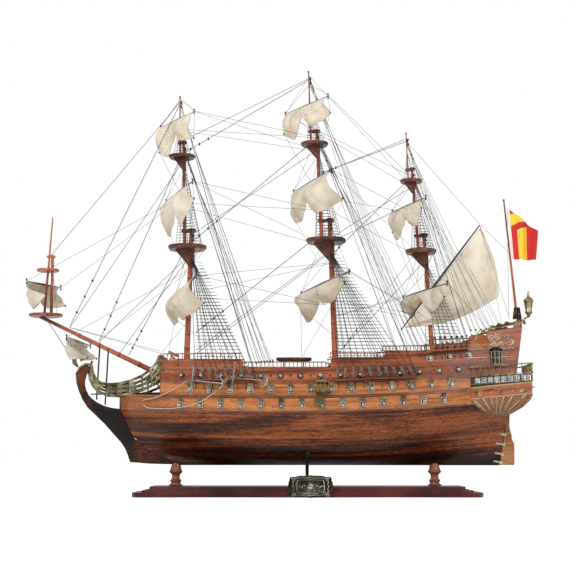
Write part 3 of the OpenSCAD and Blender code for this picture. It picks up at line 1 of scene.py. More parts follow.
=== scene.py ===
# A wooden model of a three-masted ship of the line on its display stand, dressed for the camera.
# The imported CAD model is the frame: every piece below is in metres in that frame.
import bpy
import json
import math
from mathutils import Matrix, Vector, noise
from mathutils.bvhtree import BVHTree

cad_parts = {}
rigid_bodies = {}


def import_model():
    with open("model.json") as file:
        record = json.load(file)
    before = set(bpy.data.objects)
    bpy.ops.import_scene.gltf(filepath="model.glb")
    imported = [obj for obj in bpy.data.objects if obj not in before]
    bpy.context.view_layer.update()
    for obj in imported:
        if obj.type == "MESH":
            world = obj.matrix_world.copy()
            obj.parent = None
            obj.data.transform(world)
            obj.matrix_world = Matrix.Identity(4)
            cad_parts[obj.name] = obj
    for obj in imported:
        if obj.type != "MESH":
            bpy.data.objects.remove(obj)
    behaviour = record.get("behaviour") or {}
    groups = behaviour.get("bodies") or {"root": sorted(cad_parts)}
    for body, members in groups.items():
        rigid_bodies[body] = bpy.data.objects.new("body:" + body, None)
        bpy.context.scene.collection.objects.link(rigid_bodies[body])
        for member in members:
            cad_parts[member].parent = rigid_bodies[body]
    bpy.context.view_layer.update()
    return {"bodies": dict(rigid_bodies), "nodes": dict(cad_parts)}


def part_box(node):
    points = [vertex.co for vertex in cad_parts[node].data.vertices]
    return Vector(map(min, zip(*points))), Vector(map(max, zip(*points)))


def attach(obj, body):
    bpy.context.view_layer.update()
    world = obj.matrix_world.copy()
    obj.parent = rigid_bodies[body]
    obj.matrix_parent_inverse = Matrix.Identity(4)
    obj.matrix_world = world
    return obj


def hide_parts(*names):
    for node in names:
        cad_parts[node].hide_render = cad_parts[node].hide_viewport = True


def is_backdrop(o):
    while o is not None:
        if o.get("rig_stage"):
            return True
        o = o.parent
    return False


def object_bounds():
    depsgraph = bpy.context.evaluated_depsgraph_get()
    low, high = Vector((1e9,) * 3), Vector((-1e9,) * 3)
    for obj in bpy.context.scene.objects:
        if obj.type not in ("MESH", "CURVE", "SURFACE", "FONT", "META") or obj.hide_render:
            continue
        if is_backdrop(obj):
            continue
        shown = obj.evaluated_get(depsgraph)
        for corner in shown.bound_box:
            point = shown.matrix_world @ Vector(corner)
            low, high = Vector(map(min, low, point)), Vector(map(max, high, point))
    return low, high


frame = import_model()
nodes = frame["nodes"]

# ------------------------------------------------------------------ studio
# A pale paper sweep that curves up behind the model, and soft lamps over it.
# The camera stands low, level with the keel, and looks a little up at the rig.
bpy.ops.object.select_all(action="DESELECT")
bpy.ops.mesh.primitive_plane_add(size=1, location=(0, 0, 0))
paper = bpy.context.object
paper.name = "studio_paper"
bpy.ops.object.mode_set(mode="EDIT")
bpy.ops.transform.resize(value=(14, 14, 1))
bpy.ops.transform.translate(value=(0, 1.0, -0.0006))
bpy.ops.object.mode_set(mode="OBJECT")
paper_white = bpy.data.materials.new("paper_white")
paper_white.use_nodes = True
paper_tree = paper_white.node_tree
paper_skin = paper_tree.nodes["Principled BSDF"]
paper_skin.inputs["Base Color"].default_value = (0.93, 0.93, 0.93, 1)
paper_skin.inputs["Roughness"].default_value = 0.9
paper_skin.inputs["Emission Color"].default_value = (1, 1, 1, 1)
seen = paper_tree.nodes.new("ShaderNodeLightPath")
burnt_out = paper_tree.nodes.new("ShaderNodeMath")
burnt_out.operation = "MULTIPLY"
burnt_out.inputs[1].default_value = 0.6
paper_tree.links.new(seen.outputs["Is Camera Ray"], burnt_out.inputs[0])
paper_tree.links.new(burnt_out.outputs[0], paper_skin.inputs["Emission Strength"])
paper.data.materials.append(paper_white)
paper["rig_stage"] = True

sky = bpy.data.worlds.new("studio_air")
sky.use_nodes = True
air = sky.node_tree
air.nodes["Background"].inputs["Color"].default_value = (1.0, 1.0, 1.0, 1)
seen = air.nodes.new("ShaderNodeLightPath")
burnt_out = air.nodes.new("ShaderNodeMath")
burnt_out.operation = "MULTIPLY_ADD"
burnt_out.inputs[1].default_value = 0.55
burnt_out.inputs[2].default_value = 0.45
air.links.new(seen.outputs["Is Camera Ray"], burnt_out.inputs[0])
air.links.new(burnt_out.outputs[0], air.nodes["Background"].inputs["Strength"])
bpy.context.scene.world = sky


def lamp(name, place, aim, power, width):
    bpy.ops.object.light_add(type="AREA", location=place)
    o = bpy.context.object
    o.name = name
    o.data.energy = power
    o.data.size = width
    o.rotation_euler = (Vector(aim) - Vector(place)).to_track_quat("-Z", "Y").to_euler()


lamp("key_lamp", (-1.3, -2.0, 2.0), (0, 0, 0.3), 46, 1.1)
lamp("fill_lamp", (1.7, -1.8, 1.2), (0, 0, 0.3), 20, 1.6)
lamp("back_lamp", (0.3, 2.0, 1.8), (0, 0, 0.4), 18, 1.6)

bpy.ops.object.camera_add(location=(-0.035, -2.25, 0.083), rotation=(math.radians(97.6), 0, 0))
camera = bpy.context.object
camera.name = "camera"
camera.data.lens = 76
camera.data.sensor_width = 36
bpy.context.scene.camera = camera
bpy.context.scene.view_settings.view_transform = "Standard"


def add(tree, kind, feeds=None, **settings):
    """A shader node; feeds gives its inputs, as sockets or plain values."""
    n = tree.nodes.new("ShaderNode" + kind)
    for k, v in settings.items():
        setattr(n, k, v)
    for k, v in (feeds or {}).items():
        if isinstance(v, bpy.types.NodeSocket):
            tree.links.new(v, n.inputs[k])
        else:
            n.inputs[k].default_value = v
    return n


def calc(tree, operation, *feeds):
    """A Math node's result."""
    return add(tree, "Math", dict(enumerate(feeds)), operation=operation).outputs[0]


def finish_base(name, rough, metal=0.0, coat=0.0, coat_rough=0.1):
    m = bpy.data.materials.new(name)
    m.use_nodes = True
    t = m.node_tree
    skin = t.nodes["Principled BSDF"]
    skin.inputs["Roughness"].default_value = rough
    skin.inputs["Metallic"].default_value = metal
    skin.inputs["Coat Weight"].default_value = coat
    skin.inputs["Coat Roughness"].default_value = coat_rough
    return m, t, skin, add(t, "TexCoord").outputs["Object"]


def ramp(tree, value, *stops):
    """A colour ramp through (place, colour) stops."""
    n = add(tree, "ValToRGB", {"Fac": value})
    e = n.color_ramp.elements
    while len(e) < len(stops):
        e.new(0.5)
    for k, (at, colour) in enumerate(stops):
        e[k].position = at
        e[k].color = (*colour, 1)
    return n.outputs["Color"]


def relief(tree, skin, height, strength, distance=0.0005):
    n = add(tree, "Bump", {"Height": height, "Strength": strength, "Distance": distance})
    tree.links.new(n.outputs[0], skin.inputs["Normal"])


def cord_finish(name, dark, pale, pitch):
    """Laid cord: fine slanting strands, with painted shade darkening the grooves between them."""
    m, t, skin, place = finish_base(name, 0.85)
    turned = add(t, "Mapping", {"Vector": place, "Rotation": (0.6, 0.4, 0.7)}).outputs[0]
    lay = add(t, "TexWave", {"Vector": turned, "Scale": pitch, "Distortion": 0.6}).outputs["Fac"]
    fluff = add(t, "TexNoise", {"Vector": place, "Scale": 900.0, "Detail": 3.0}).outputs["Fac"]
    both = calc(t, "MULTIPLY", lay, fluff)
    # The strand pattern sets the colour: the grooves between strands are darkened as painted shade, over the
    # cord's own dark-to-pale tone.
    t.links.new(ramp(t, both, (0.1, dark), (0.6, pale)), skin.inputs["Base Color"])
    relief(t, skin, lay, 0.5)
    return m


cable_cotton = cord_finish("cable_cotton", (0.36, 0.28, 0.22), (0.74, 0.66, 0.57), 420)
cable_routes = (
    ((-297, 52.1, 171), (-292, 57.6, 173), (-280, 63.5, 175), (-262, 71.0, 180), (-244, 76.8, 188),
     (-228, 82.0, 197), (-215.4, 90.5, 204.6)),
    ((-295, 52.7, 165), (-290, 56.6, 160), (-280, 61.2, 157.6), (-248, 74.4, 156.6), (-215, 86.7, 160),
     (-190, 92.2, 168), (-165, 95.1, 184), (-150, 97.5, 198), (-142.6, 98.1, 208.4)),
)


def smooth_line(points, each=4):
    """Points on a smooth curve through the given ones."""
    p = [Vector(q) for q in points]
    p = [2 * p[0] - p[1]] + p + [2 * p[-1] - p[-2]]
    out = []
    for i in range(1, len(p) - 2):
        for k in range(each):
            t = k / each
            out.append(0.5 * ((2 * p[i]) + (p[i + 1] - p[i - 1]) * t
                              + (2 * p[i - 1] - 5 * p[i] + 4 * p[i + 1] - p[i + 2]) * t * t
                              + (3 * p[i] - p[i - 1] - 3 * p[i + 1] + p[i + 2]) * t ** 3))
    return out + [p[-2]]


for side_name, side in (("port", -1), ("starboard", 1)):
    for number, route in enumerate(cable_routes):
        line = smooth_line([(x / 1000, side * y / 1000, z / 1000) for x, y, z in route])
        data = bpy.data.curves.new(f"anchor_cable_{side_name}_{number}", "CURVE")
        data.dimensions = "3D"
        data.bevel_depth = 0.0009
        data.bevel_resolution = 3
        data.use_fill_caps = True
        run = data.splines.new("POLY")
        run.points.add(len(line) - 1)
        for q, v in zip(run.points, line):
            q.co = (*v, 1)
        cable = bpy.data.objects.new(data.name, data)
        bpy.context.collection.objects.link(cable)
        cable.data.materials.append(cable_cotton)
        long = sum((b - a).length for a, b in zip(line, line[1:]))
        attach(cable, "ship")
        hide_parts("anchor_cables")

# ------------------------------------------------------------------ stand
# A stepped base board with a wavy edge, two turned pedestals that hold the keel, and a cradle bracket.
# Stained cherry under thick gloss lacquer; the edges of each board are eased by hand.


def board_finish(name, dark, mid, pale, grain=(14, 120, 120), figure=9.0, coat=0.4, rough=0.38, bump=0.25,
                 planks=0.0, tint=0.12, below=None, keel_dark=None):
    """Lacquered wood: stretched grain and slow figure, which run with the sheer on planked pieces."""
    m, t, skin, place = finish_base(name, rough, coat=coat, coat_rough=0.12)
    skin.inputs["Specular IOR Level"].default_value = 0.22
    run = add(t, "Mapping", {"Vector": place, "Scale": grain}).outputs[0]
    fibre = add(t, "TexNoise", {"Vector": run, "Scale": 8.0, "Detail": 6.0, "Roughness": 0.62,
                                "Distortion": 0.6}).outputs["Fac"]
    slow = add(t, "TexNoise", {"Vector": place, "Scale": figure, "Detail": 3.0}).outputs["Fac"]
    pore = add(t, "TexNoise", {"Vector": run, "Scale": 60.0, "Detail": 2.0}).outputs["Fac"]
    height = calc(t, "ADD", fibre, pore)
    at = add(t, "SeparateXYZ", {0: place})
    if planks:
        run_x = calc(t, "ADD", at.outputs[0], 0.04)
        aft = calc(t, "MAXIMUM", run_x, 0.0)
        fore = calc(t, "MINIMUM", run_x, 0.0)
        aft = calc(t, "MULTIPLY", calc(t, "POWER", aft, 2.0), 0.12856)
        fore = calc(t, "MULTIPLY", fore, fore)
        lift = calc(t, "MULTIPLY_ADD", fore, 0.06667, aft)
        up = calc(t, "SUBTRACT", at.outputs[2], lift)
        flow = add(t, "CombineXYZ", {0: at.outputs[0], 1: at.outputs[1], 2: up}).outputs[0]
        flow = add(t, "Mapping", {"Vector": flow, "Scale": (2.6, 2.6, figure * 3.4)}).outputs[0]
        slow = add(t, "TexNoise", {"Vector": flow, "Scale": 1.0, "Detail": 4.0, "Roughness": 0.55,
                                   "Distortion": 1.3}).outputs["Fac"]
        fine = add(t, "Mapping", {"Vector": flow, "Scale": (1.6, 1.6, 5.5)}).outputs[0]
        fine = add(t, "TexNoise", {"Vector": fine, "Scale": 1.0, "Detail": 3.0,
                                   "Distortion": 0.8}).outputs["Fac"]
        slow = calc(t, "MULTIPLY_ADD", calc(t, "SUBTRACT", fine, 0.5), 0.55, slow)
        row = calc(t, "DIVIDE", up, planks)
        number = calc(t, "FLOOR", row)
        stagger = calc(t, "MULTIPLY_ADD", number, 0.37, calc(t, "MULTIPLY", at.outputs[0], 4.0))
        butt = calc(t, "FLOOR", stagger)
        shade = add(t, "TexWhiteNoise", {"Vector": add(t, "CombineXYZ", {0: butt, 1: number}).outputs[0]}
                    ).outputs["Value"]
    mix = calc(t, "MULTIPLY", fibre, 0.45)
    mix = calc(t, "MULTIPLY_ADD", slow, 0.55, mix)
    if planks:
        mix = calc(t, "MULTIPLY_ADD", calc(t, "SUBTRACT", shade, 0.5), tint, mix)
        near_edge = calc(t, "PINGPONG", row, 0.5)
        near_butt = calc(t, "PINGPONG", stagger, 0.5)
        seam = calc(t, "LESS_THAN", near_edge, 0.04)
        joint = calc(t, "LESS_THAN", near_butt, 0.003)
        seam = calc(t, "MAXIMUM", seam, joint)
        mix = calc(t, "MULTIPLY_ADD", seam, -0.06, mix)
        height = calc(t, "MULTIPLY_ADD", seam, -1.5, height)
    # Darker towards the bottom: below the given heights the colour is pulled down by height.
    if keel_dark:
        foot = add(t, "MapRange", {"Value": at.outputs[2], "From Min": keel_dark[1], "From Max": keel_dark[2],
                                   "To Min": 1.0, "To Max": 0.0}).outputs[0]
        mix = calc(t, "MULTIPLY_ADD", foot, -keel_dark[0], mix)
    colour = ramp(t, mix, (0.39, dark), (0.49, mid), (0.6, pale))
    if below:
        low = calc(t, "LESS_THAN", up, below[0])
        two = add(t, "Mix", {0: low, 6: colour, 7: ramp(t, mix, (0.39, below[1]), (0.49, below[2]),
                                                        (0.6, below[3]))}, data_type="RGBA")
        colour = two.outputs[2]
    t.links.new(colour, skin.inputs["Base Color"])
    relief(t, skin, height, bump, 0.0003)
    return m


def fitted(node, finish, angle=35, ease=0.0):
    """The node's own shape as one smooth piece, with its sharp edges eased where asked."""
    o = nodes[node].copy()
    o.data = nodes[node].data.copy()
    o.name = node + "_made"
    for key in [k for k in o.keys() if k.startswith("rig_")]:
        del o[key]
    o.parent = None
    bpy.context.collection.objects.link(o)
    o.data.materials.clear()
    bpy.ops.object.select_all(action="DESELECT")
    o.select_set(True)
    bpy.context.view_layer.objects.active = o
    bpy.ops.object.mode_set(mode="EDIT")
    bpy.ops.mesh.select_all(action="SELECT")
    bpy.ops.mesh.remove_doubles(threshold=0.00001)
    bpy.ops.object.mode_set(mode="OBJECT")
    if ease:
        edge = o.modifiers.new("eased_edges", "BEVEL")
        edge.width = ease
        edge.segments = 2
        edge.limit_method = "ANGLE"
        edge.angle_limit = math.radians(40)
        bpy.ops.object.modifier_apply(modifier=edge.name)
    bpy.ops.object.shade_smooth_by_angle(angle=math.radians(angle))
    o.data.materials.append(finish)
    owner = next(b for b, e in frame["bodies"].items() if nodes[node].parent is e)
    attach(o, owner)
    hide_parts(node)
    return o


stand_cherry = board_finish("stand_cherry", (0.016, 0.003, 0.003), (0.06, 0.008, 0.008), (0.12, 0.02, 0.017),
                            coat=0.2, rough=0.4)
pedestal_wood = board_finish("pedestal_wood", (0.05, 0.012, 0.006), (0.17, 0.045, 0.024), (0.32, 0.11, 0.06),
                             grain=(90, 90, 12), coat=0.6)
black_steel = board_finish("black_steel", (0.008, 0.008, 0.008), (0.02, 0.02, 0.02), (0.05, 0.048, 0.045),
                           grain=(60, 60, 60), coat=0.3, rough=0.45, bump=0.08)
fitted("stand_base", stand_cherry, ease=0.0008)
fitted("stand_pedestals", pedestal_wood, angle=50)
fitted("cradle_bracket", black_steel, ease=0.0003)


def cast_finish(name, deep, body, bright, rough=0.35, scale=260.0, metal=1.0, bump=0.35):
    """Cast or rubbed metal: dark in the pits, brighter where it is handled."""
    m, t, skin, place = finish_base(name, rough, metal=metal)
    pits = add(t, "TexNoise", {"Vector": place, "Scale": scale, "Detail": 5.0, "Roughness": 0.6}).outputs["Fac"]
    soft = add(t, "TexNoise", {"Vector": place, "Scale": scale / 9, "Detail": 2.0}).outputs["Fac"]
    both = calc(t, "MULTIPLY", calc(t, "ADD", pits, soft), 0.5)
    t.links.new(ramp(t, both, (0.34, deep), (0.5, body), (0.66, bright)), skin.inputs["Base Color"])
    relief(t, skin, pits, bump, 0.0003)
    return m


pewter = cast_finish("pewter", (0.008, 0.007, 0.006), (0.04, 0.034, 0.027), (0.16, 0.14, 0.11), rough=0.42,
                     scale=420.0, bump=0.2)
fitted("nameplate", pewter, ease=0.0003)

# ------------------------------------------------------------------ hull
# Planked bottom of dark rosewood, an orange band between the wales, and red-brown upper works.
# Each strake is a separate stained plank, so its tone changes from plank to plank. The keel is stained darker,
# and both the planking and the keel grow darker towards the bottom.
rosewood = board_finish("rosewood", (0.009, 0.0025, 0.0015), (0.1, 0.023, 0.007), (0.36, 0.1, 0.026),
                        grain=(9, 70, 110), figure=9, coat=0.15, rough=0.32, planks=0.0064, tint=0.02,
                        keel_dark=(0.13, 0.055, 0.105))
orange_stain = (0.2, 0.055, 0.014), (0.43, 0.14, 0.036), (0.62, 0.26, 0.085)
wale_height = 0.203
orange_wood = board_finish("orange_wood", *orange_stain, grain=(10, 80, 120), coat=0.5, planks=0.0062,
                           tint=0.04)
red_wood = board_finish("red_wood", (0.12, 0.022, 0.008), (0.27, 0.062, 0.02), (0.42, 0.13, 0.045),
                        grain=(10, 80, 120), coat=0.5, planks=0.0062, tint=0.04,
                        below=(wale_height, *orange_stain))
keel_wood = board_finish("keel_wood", (0.006, 0.002, 0.0015), (0.1, 0.026, 0.009), (0.24, 0.075, 0.028),
                         grain=(12, 90, 90), coat=0.12, rough=0.45, keel_dark=(0.16, 0.12, 0.215))
for side_name in ("port", "starboard"):
    fitted("bottom_planking_" + side_name, rosewood, angle=30)
    fitted("lower_topside_" + side_name, orange_wood, angle=30)
    fitted("upper_topside_" + side_name, red_wood, angle=30)
fitted("keel_and_stem", keel_wood, ease=0.0003)

# ------------------------------------------------------------------ wales, rails and catheads
# Heavy rubbing strakes along the sides, the cap rails and turned deck rails over them, and the two catheads.
# Hardwood battens, glued and pinned to the planking; the wales have the glossier varnish.
wale_wood = board_finish("wale_wood", (0.05, 0.014, 0.008), (0.16, 0.05, 0.028), (0.34, 0.14, 0.085),
                         grain=(10, 120, 120), coat=0.8)
trim_wood = board_finish("trim_wood", (0.14, 0.04, 0.014), (0.3, 0.1, 0.035), (0.5, 0.21, 0.08),
                         grain=(14, 120, 120), coat=0.5)
fitted("wales", wale_wood)
for node in ("cap_rails", "deck_rails", "catheads"):
    fitted(node, trim_wood)

# ------------------------------------------------------------------ head
# The curved head rails, the beakhead platform and the scroll that ends the stem.
# The rails and the scroll are cast and rubbed back to a dull gilt; the platform is dark wood.
head_gilt = cast_finish("head_gilt", (0.07, 0.06, 0.032), (0.3, 0.26, 0.155), (0.62, 0.57, 0.41), rough=0.45)
brass = cast_finish("antique_brass", (0.05, 0.035, 0.014), (0.25, 0.185, 0.08), (0.6, 0.5, 0.29), rough=0.42)
fitted("head_rails", head_gilt)
fitted("figurehead", brass)
fitted("beakhead", keel_wood)

# ------------------------------------------------------------------ stern and galleries
# The quarter galleries: a fan of gilt ribs below, an orange frieze, then a black band behind the windows.
# Painted wood; the ribs spread from the scroll at the fan's foot. Windows, rails, crest and lantern are cast.
gallery_paint, t, skin, place = finish_base("gallery_paint", 0.4, coat=0.4)
at = add(t, "SeparateXYZ", {0: place})
up = calc(t, "MULTIPLY_ADD", at.outputs[0], -0.1, at.outputs[2])
share = add(t, "MapRange", {"Value": up, "From Min": 0.10, "From Max": 0.22}).outputs[0]
gilt = (0.52, 0.4, 0.19)
bands = ramp(t, share, (0.0, (0.3, 0.1, 0.045)), (0.36, gilt), (0.375, (0.48, 0.11, 0.025)), (0.525, gilt),
             (0.54, (0.008, 0.007, 0.006)), (0.8, gilt), (0.825, (0.33, 0.085, 0.035)))
bands.node.color_ramp.interpolation = "CONSTANT"
fan_foot_x, fan_foot_z = 0.3386, 0.134
side = calc(t, "ADD", at.outputs[0], -fan_foot_x)
rise = calc(t, "ADD", at.outputs[2], -fan_foot_z)
turn = calc(t, "ARCTAN2", side, rise)
spoke = calc(t, "PINGPONG", calc(t, "MULTIPLY", turn, 3.6), 0.5)
rib = calc(t, "LESS_THAN", spoke, 0.052)
fan = calc(t, "LESS_THAN", share, 0.36)
rib = calc(t, "MULTIPLY", rib, fan)
two = add(t, "Mix", {0: rib, 6: bands}, data_type="RGBA")
two.inputs[7].default_value = (0.72, 0.58, 0.32, 1)
facing_up = add(t, "SeparateXYZ", {0: add(t, "NewGeometry").outputs["True Normal"]}).outputs[2]
facing_up = calc(t, "GREATER_THAN", facing_up, 0.8)
two = add(t, "Mix", {0: facing_up, 6: two.outputs[2]}, data_type="RGBA")
two.inputs[7].default_value = (0.34, 0.13, 0.05, 1)
fibre = add(t, "TexNoise", {"Vector": add(t, "Mapping", {"Vector": place, "Scale": (14, 90, 130)}).outputs[0],
                            "Scale": 8.0, "Detail": 5.0}).outputs["Fac"]
wear = ramp(t, fibre, (0.3, (0.55, 0.55, 0.55)), (0.6, (1, 1, 1)))
worn = add(t, "Mix", {0: 1.0, 6: two.outputs[2], 7: wear}, data_type="RGBA", blend_type="MULTIPLY")
t.links.new(worn.outputs[2], skin.inputs["Base Color"])
relief(t, skin, calc(t, "MULTIPLY_ADD", rib, 3.0, fibre), 0.5, 0.0006)
window_silver = cast_finish("window_silver", (0.25, 0.26, 0.27), (0.6, 0.6, 0.6), (0.85, 0.85, 0.84),
                            rough=0.25)
fitted("quarter_galleries", gallery_paint)
fitted("gallery_windows", window_silver)
for node in ("gallery_rails", "taffrail", "stern_lantern"):
    fitted(node, brass)
fitted("transom", red_wood)

# ------------------------------------------------------------------ decks
# Pale planked decks, red bulkheads at their breaks, and a dark ship's boat on its chocks in the waist.
# Thin boards laid fore and aft, sealed with a flat varnish.
deck_wood = board_finish("deck_wood", (0.25, 0.12, 0.05), (0.43, 0.23, 0.1), (0.6, 0.37, 0.19),
                         grain=(10, 160, 60), coat=0.2, rough=0.5)
yard_wood = board_finish("yard_wood", (0.01, 0.006, 0.005), (0.035, 0.02, 0.014), (0.12, 0.06, 0.04),
                         grain=(90, 12, 90), coat=0.5)
for node in ("forecastle_deck", "waist_deck", "quarterdeck", "poop_deck"):
    fitted(node, deck_wood)
fitted("deck_bulkheads", red_wood)
fitted("ships_boat", yard_wood)

# ------------------------------------------------------------------ guns
# Square port frames with their raised lids, black gun barrels, round wreaths and the entry balconies.
# All are castings, pinned to the sides and rubbed bright at the edges.
port_metal = cast_finish("port_metal", (0.12, 0.11, 0.09), (0.36, 0.34, 0.29), (0.66, 0.63, 0.56), rough=0.45)
lid_bronze = cast_finish("lid_bronze", (0.05, 0.04, 0.02), (0.2, 0.165, 0.09), (0.42, 0.37, 0.23), rough=0.5)
gun_black = cast_finish("gun_black", (0.006, 0.005, 0.005), (0.025, 0.022, 0.02), (0.1, 0.09, 0.08), rough=0.4)
wreath_bronze = cast_finish("wreath_bronze", (0.02, 0.017, 0.012), (0.12, 0.1, 0.07), (0.42, 0.37, 0.27),
                            rough=0.45)
fitted("gunport_frames", port_metal)
fitted("gunport_lids", lid_bronze)
fitted("gun_barrels", gun_black)
fitted("port_wreaths", wreath_bronze)
fitted("entry_balconies", brass)

# ------------------------------------------------------------------ channels and anchors
# Red boards that spread the shrouds, the black deadeyes and chains on them, and the iron-grey anchors.
# The channels are sawn boards; the anchors are cast and lashed to the side.
steel_grey = cast_finish("steel_grey", (0.08, 0.08, 0.08), (0.3, 0.3, 0.31), (0.62, 0.62, 0.62), rough=0.38)
fitted("channels", red_wood)
fitted("deadeyes", yard_wood)
fitted("anchors", steel_grey)

# ------------------------------------------------------------------ masts and spars
# Three masts in three lengths, the bowsprit and its small topmast, the flagstaff, the tops and the yards.
# Turned dowels with a red varnish; the tops are darker and the yards nearly black.
mast_wood = board_finish("mast_wood", (0.13, 0.02, 0.008), (0.33, 0.07, 0.026), (0.5, 0.15, 0.06),
                         grain=(150, 150, 10), coat=0.7)
top_wood = board_finish("top_wood", (0.02, 0.008, 0.005), (0.11, 0.036, 0.02), (0.27, 0.11, 0.06),
                        grain=(20, 90, 90), coat=0.4)
for node in ("fore_mast", "main_mast", "mizzen_mast", "topmasts", "topgallant_masts", "bowsprit",
             "sprit_topmast", "flagstaff"):
    fitted(node, mast_wood)
fitted("mast_tops", top_wood)
for node in ("square_yards", "lateen_yard"):
    fitted(node, yard_wood)

# ------------------------------------------------------------------ standing rigging
# Shrouds and stays of black laid cord, set up taut between the mast heads and the channels.
rigging_cord = cord_finish("rigging_cord", (0.012, 0.011, 0.01), (0.075, 0.068, 0.062), 900)
for node in ("shrouds", "stays"):
    fitted(node, rigging_cord)

# ------------------------------------------------------------------ rudder
# A sawn blade with brass pintle straps that turn in bright gudgeons on the sternpost.
rudder_wood = board_finish("rudder_wood", (0.1, 0.03, 0.01), (0.24, 0.085, 0.03), (0.42, 0.18, 0.07),
                           grain=(90, 90, 14), coat=0.4)
rudder_brass = cast_finish("rudder_brass", (0.12, 0.07, 0.02), (0.4, 0.26, 0.09), (0.72, 0.54, 0.24),
                           rough=0.35)
bright_metal = cast_finish("bright_metal", (0.2, 0.18, 0.15), (0.5, 0.47, 0.4), (0.8, 0.76, 0.68), rough=0.3)
fitted("rudder_blade", rudder_wood)
fitted("rudder_pintles", rudder_brass)
fitted("gudgeons", bright_metal)

# ------------------------------------------------------------------ sails
# Starched cream cotton, hauled up by its clews, so that each square sail hangs as two full lobes.
# A thin bolt rope is sewn round every edge.
m, t, skin, place = finish_base("sailcloth", 0.8)
spread = add(t, "UVMap").outputs[0]
warp = add(t, "TexWave", {"Vector": spread, "Scale": 700.0}, bands_direction="X").outputs["Fac"]
weft = add(t, "TexWave", {"Vector": spread, "Scale": 700.0}, bands_direction="Y").outputs["Fac"]
weave = calc(t, "MULTIPLY", warp, weft)
stain = add(t, "TexNoise", {"Vector": place, "Scale": 26.0, "Detail": 4.0}).outputs["Fac"]
blend = calc(t, "MULTIPLY_ADD", weave, 0.18, stain)
t.links.new(ramp(t, blend, (0.3, (0.52, 0.42, 0.29)), (0.5, (0.7, 0.61, 0.48)), (0.72, (0.8, 0.73, 0.61))),
            skin.inputs["Base Color"])
relief(t, skin, weave, 0.25, 0.0002)
skin.inputs["Sheen Weight"].default_value = 0.15
sailcloth = m


def cloth_sheet(name, rows, finish, thick=0.0005):
    """A closed thin sheet over rows of points, with its UV map in metres of cloth."""
    n, k = len(rows), len(rows[0])
    mesh = bpy.data.meshes.new(name)
    faces = [(i * k + j, i * k + j + 1, (i + 1) * k + j + 1, (i + 1) * k + j)
             for i in range(n - 1) for j in range(k - 1)]
    mesh.from_pydata([p for r in rows for p in r], [], faces)
    across = [0.0]
    for j in range(1, k):
        across.append(across[-1] + (rows[0][j] - rows[0][j - 1]).length)
    down = [0.0]
    for i in range(1, n):
        down.append(down[-1] + (rows[i][k // 2] - rows[i - 1][k // 2]).length)
    uv = mesh.uv_layers.new(name="UVMap")
    for loop in mesh.loops:
        i, j = divmod(loop.vertex_index, k)
        uv.data[loop.index].uv = (across[j], down[i])
    o = bpy.data.objects.new(name, mesh)
    bpy.context.collection.objects.link(o)
    bpy.ops.object.select_all(action="DESELECT")
    o.select_set(True)
    bpy.context.view_layer.objects.active = o
    wall = o.modifiers.new("wall", "SOLIDIFY")
    wall.thickness = thick
    wall.offset = 0
    bpy.ops.object.modifier_apply(modifier=wall.name)
    bpy.ops.object.shade_smooth_by_angle(angle=math.radians(70))
    mesh.materials.append(finish)
    return o


def rope_tubes(name, lines, radius, finish, closed=False, sides=1):
    """Round ropes along lines of points, made one mesh."""
    data = bpy.data.curves.new(name, "CURVE")
    data.dimensions = "3D"
    data.bevel_depth = radius
    data.bevel_resolution = sides
    data.use_fill_caps = not closed
    for line in lines:
        run = data.splines.new("POLY")
        run.points.add(len(line) - 1)
        run.use_cyclic_u = closed
        for q, v in zip(run.points, line):
            q.co = (*v, 1)
    o = bpy.data.objects.new(name, data)
    bpy.context.collection.objects.link(o)
    bpy.ops.object.select_all(action="DESELECT")
    o.select_set(True)
    bpy.context.view_layer.objects.active = o
    bpy.ops.object.convert(target="MESH")
    o = bpy.context.object
    o.data.materials.append(finish)
    return o


def hoist(name, rows, stands_for):
    sail = cloth_sheet(name, rows, sailcloth)
    rim = rows[0] + [r[-1] for r in rows[1:]] + rows[-1][-2::-1] + [r[0] for r in rows[-2:0:-1]]
    rope = rope_tubes(name + "_bolt_rope", [rim], 0.00055, cable_cotton, closed=True)
    for o in (sail, rope):
        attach(o, "ship")
        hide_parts(stands_for)
    wide = sum((b - a).length for a, b in zip(rows[0], rows[0][1:]))
    wide = max(wide, max(sum((b - a).length for a, b in zip(r, r[1:])) for r in rows) * 0.9)
    return sail


# Each sail: yard centre x and height, yard length, brace angle and radius, then the arch of the foot,
# the port lobe (depth, clew depth, how far the clew is hauled aft), the starboard lobe, and the belly.
clews = {}
square_sails = {
    "fore_course": (-227.3, 386, 300, 12.5, 3, 50, (66, 42, 22), (64, 46, 4), 26, "fore_sails"),
    "fore_topsail": (-241, 566, 200, 20, 2.2, 30, (70, 26, 14), (78, 40, 0), 20, "fore_sails"),
    "fore_topgallant": (-246, 706, 140, 33, 1.6, 22, (46, 46, 10), (66, 52, -4), 15, "fore_sails"),
    "main_course": (31.5, 392, 320, 15, 3.2, 30, (42, 14, 8), (64, 30, -4), 22, "main_sails"),
    "main_topsail": (10, 586, 204, 20, 2.4, 31, (66, 46, 34), (70, 58, 0), 20, "main_sails"),
    "main_topgallant": (-0.4, 734, 150, 33, 1.7, 20, (44, 26, 16), (60, 44, -4), 14, "main_sails"),
    "cross_jack": (219.2, 378, 220, 16, 2.4, 15, (46, 20, 4), (44, 26, -2), 12, "mizzen_sails"),
    "mizzen_topsail": (192, 541, 150, 20, 1.8, 22, (46, 16, 2), (60, 40, -2), 14, "mizzen_sails"),
    "sprit_sail": (-423, 282.7, 190, -4, 2.2, 14, (34, 34, 40), (30, 24, 20), 12, "sprit_sails"),
    "sprit_topsail": (-490.6, 390, 104, -27, 1.6, 30, (46, 26, 44), (40, 36, 26), 20, "sprit_sails"),
}
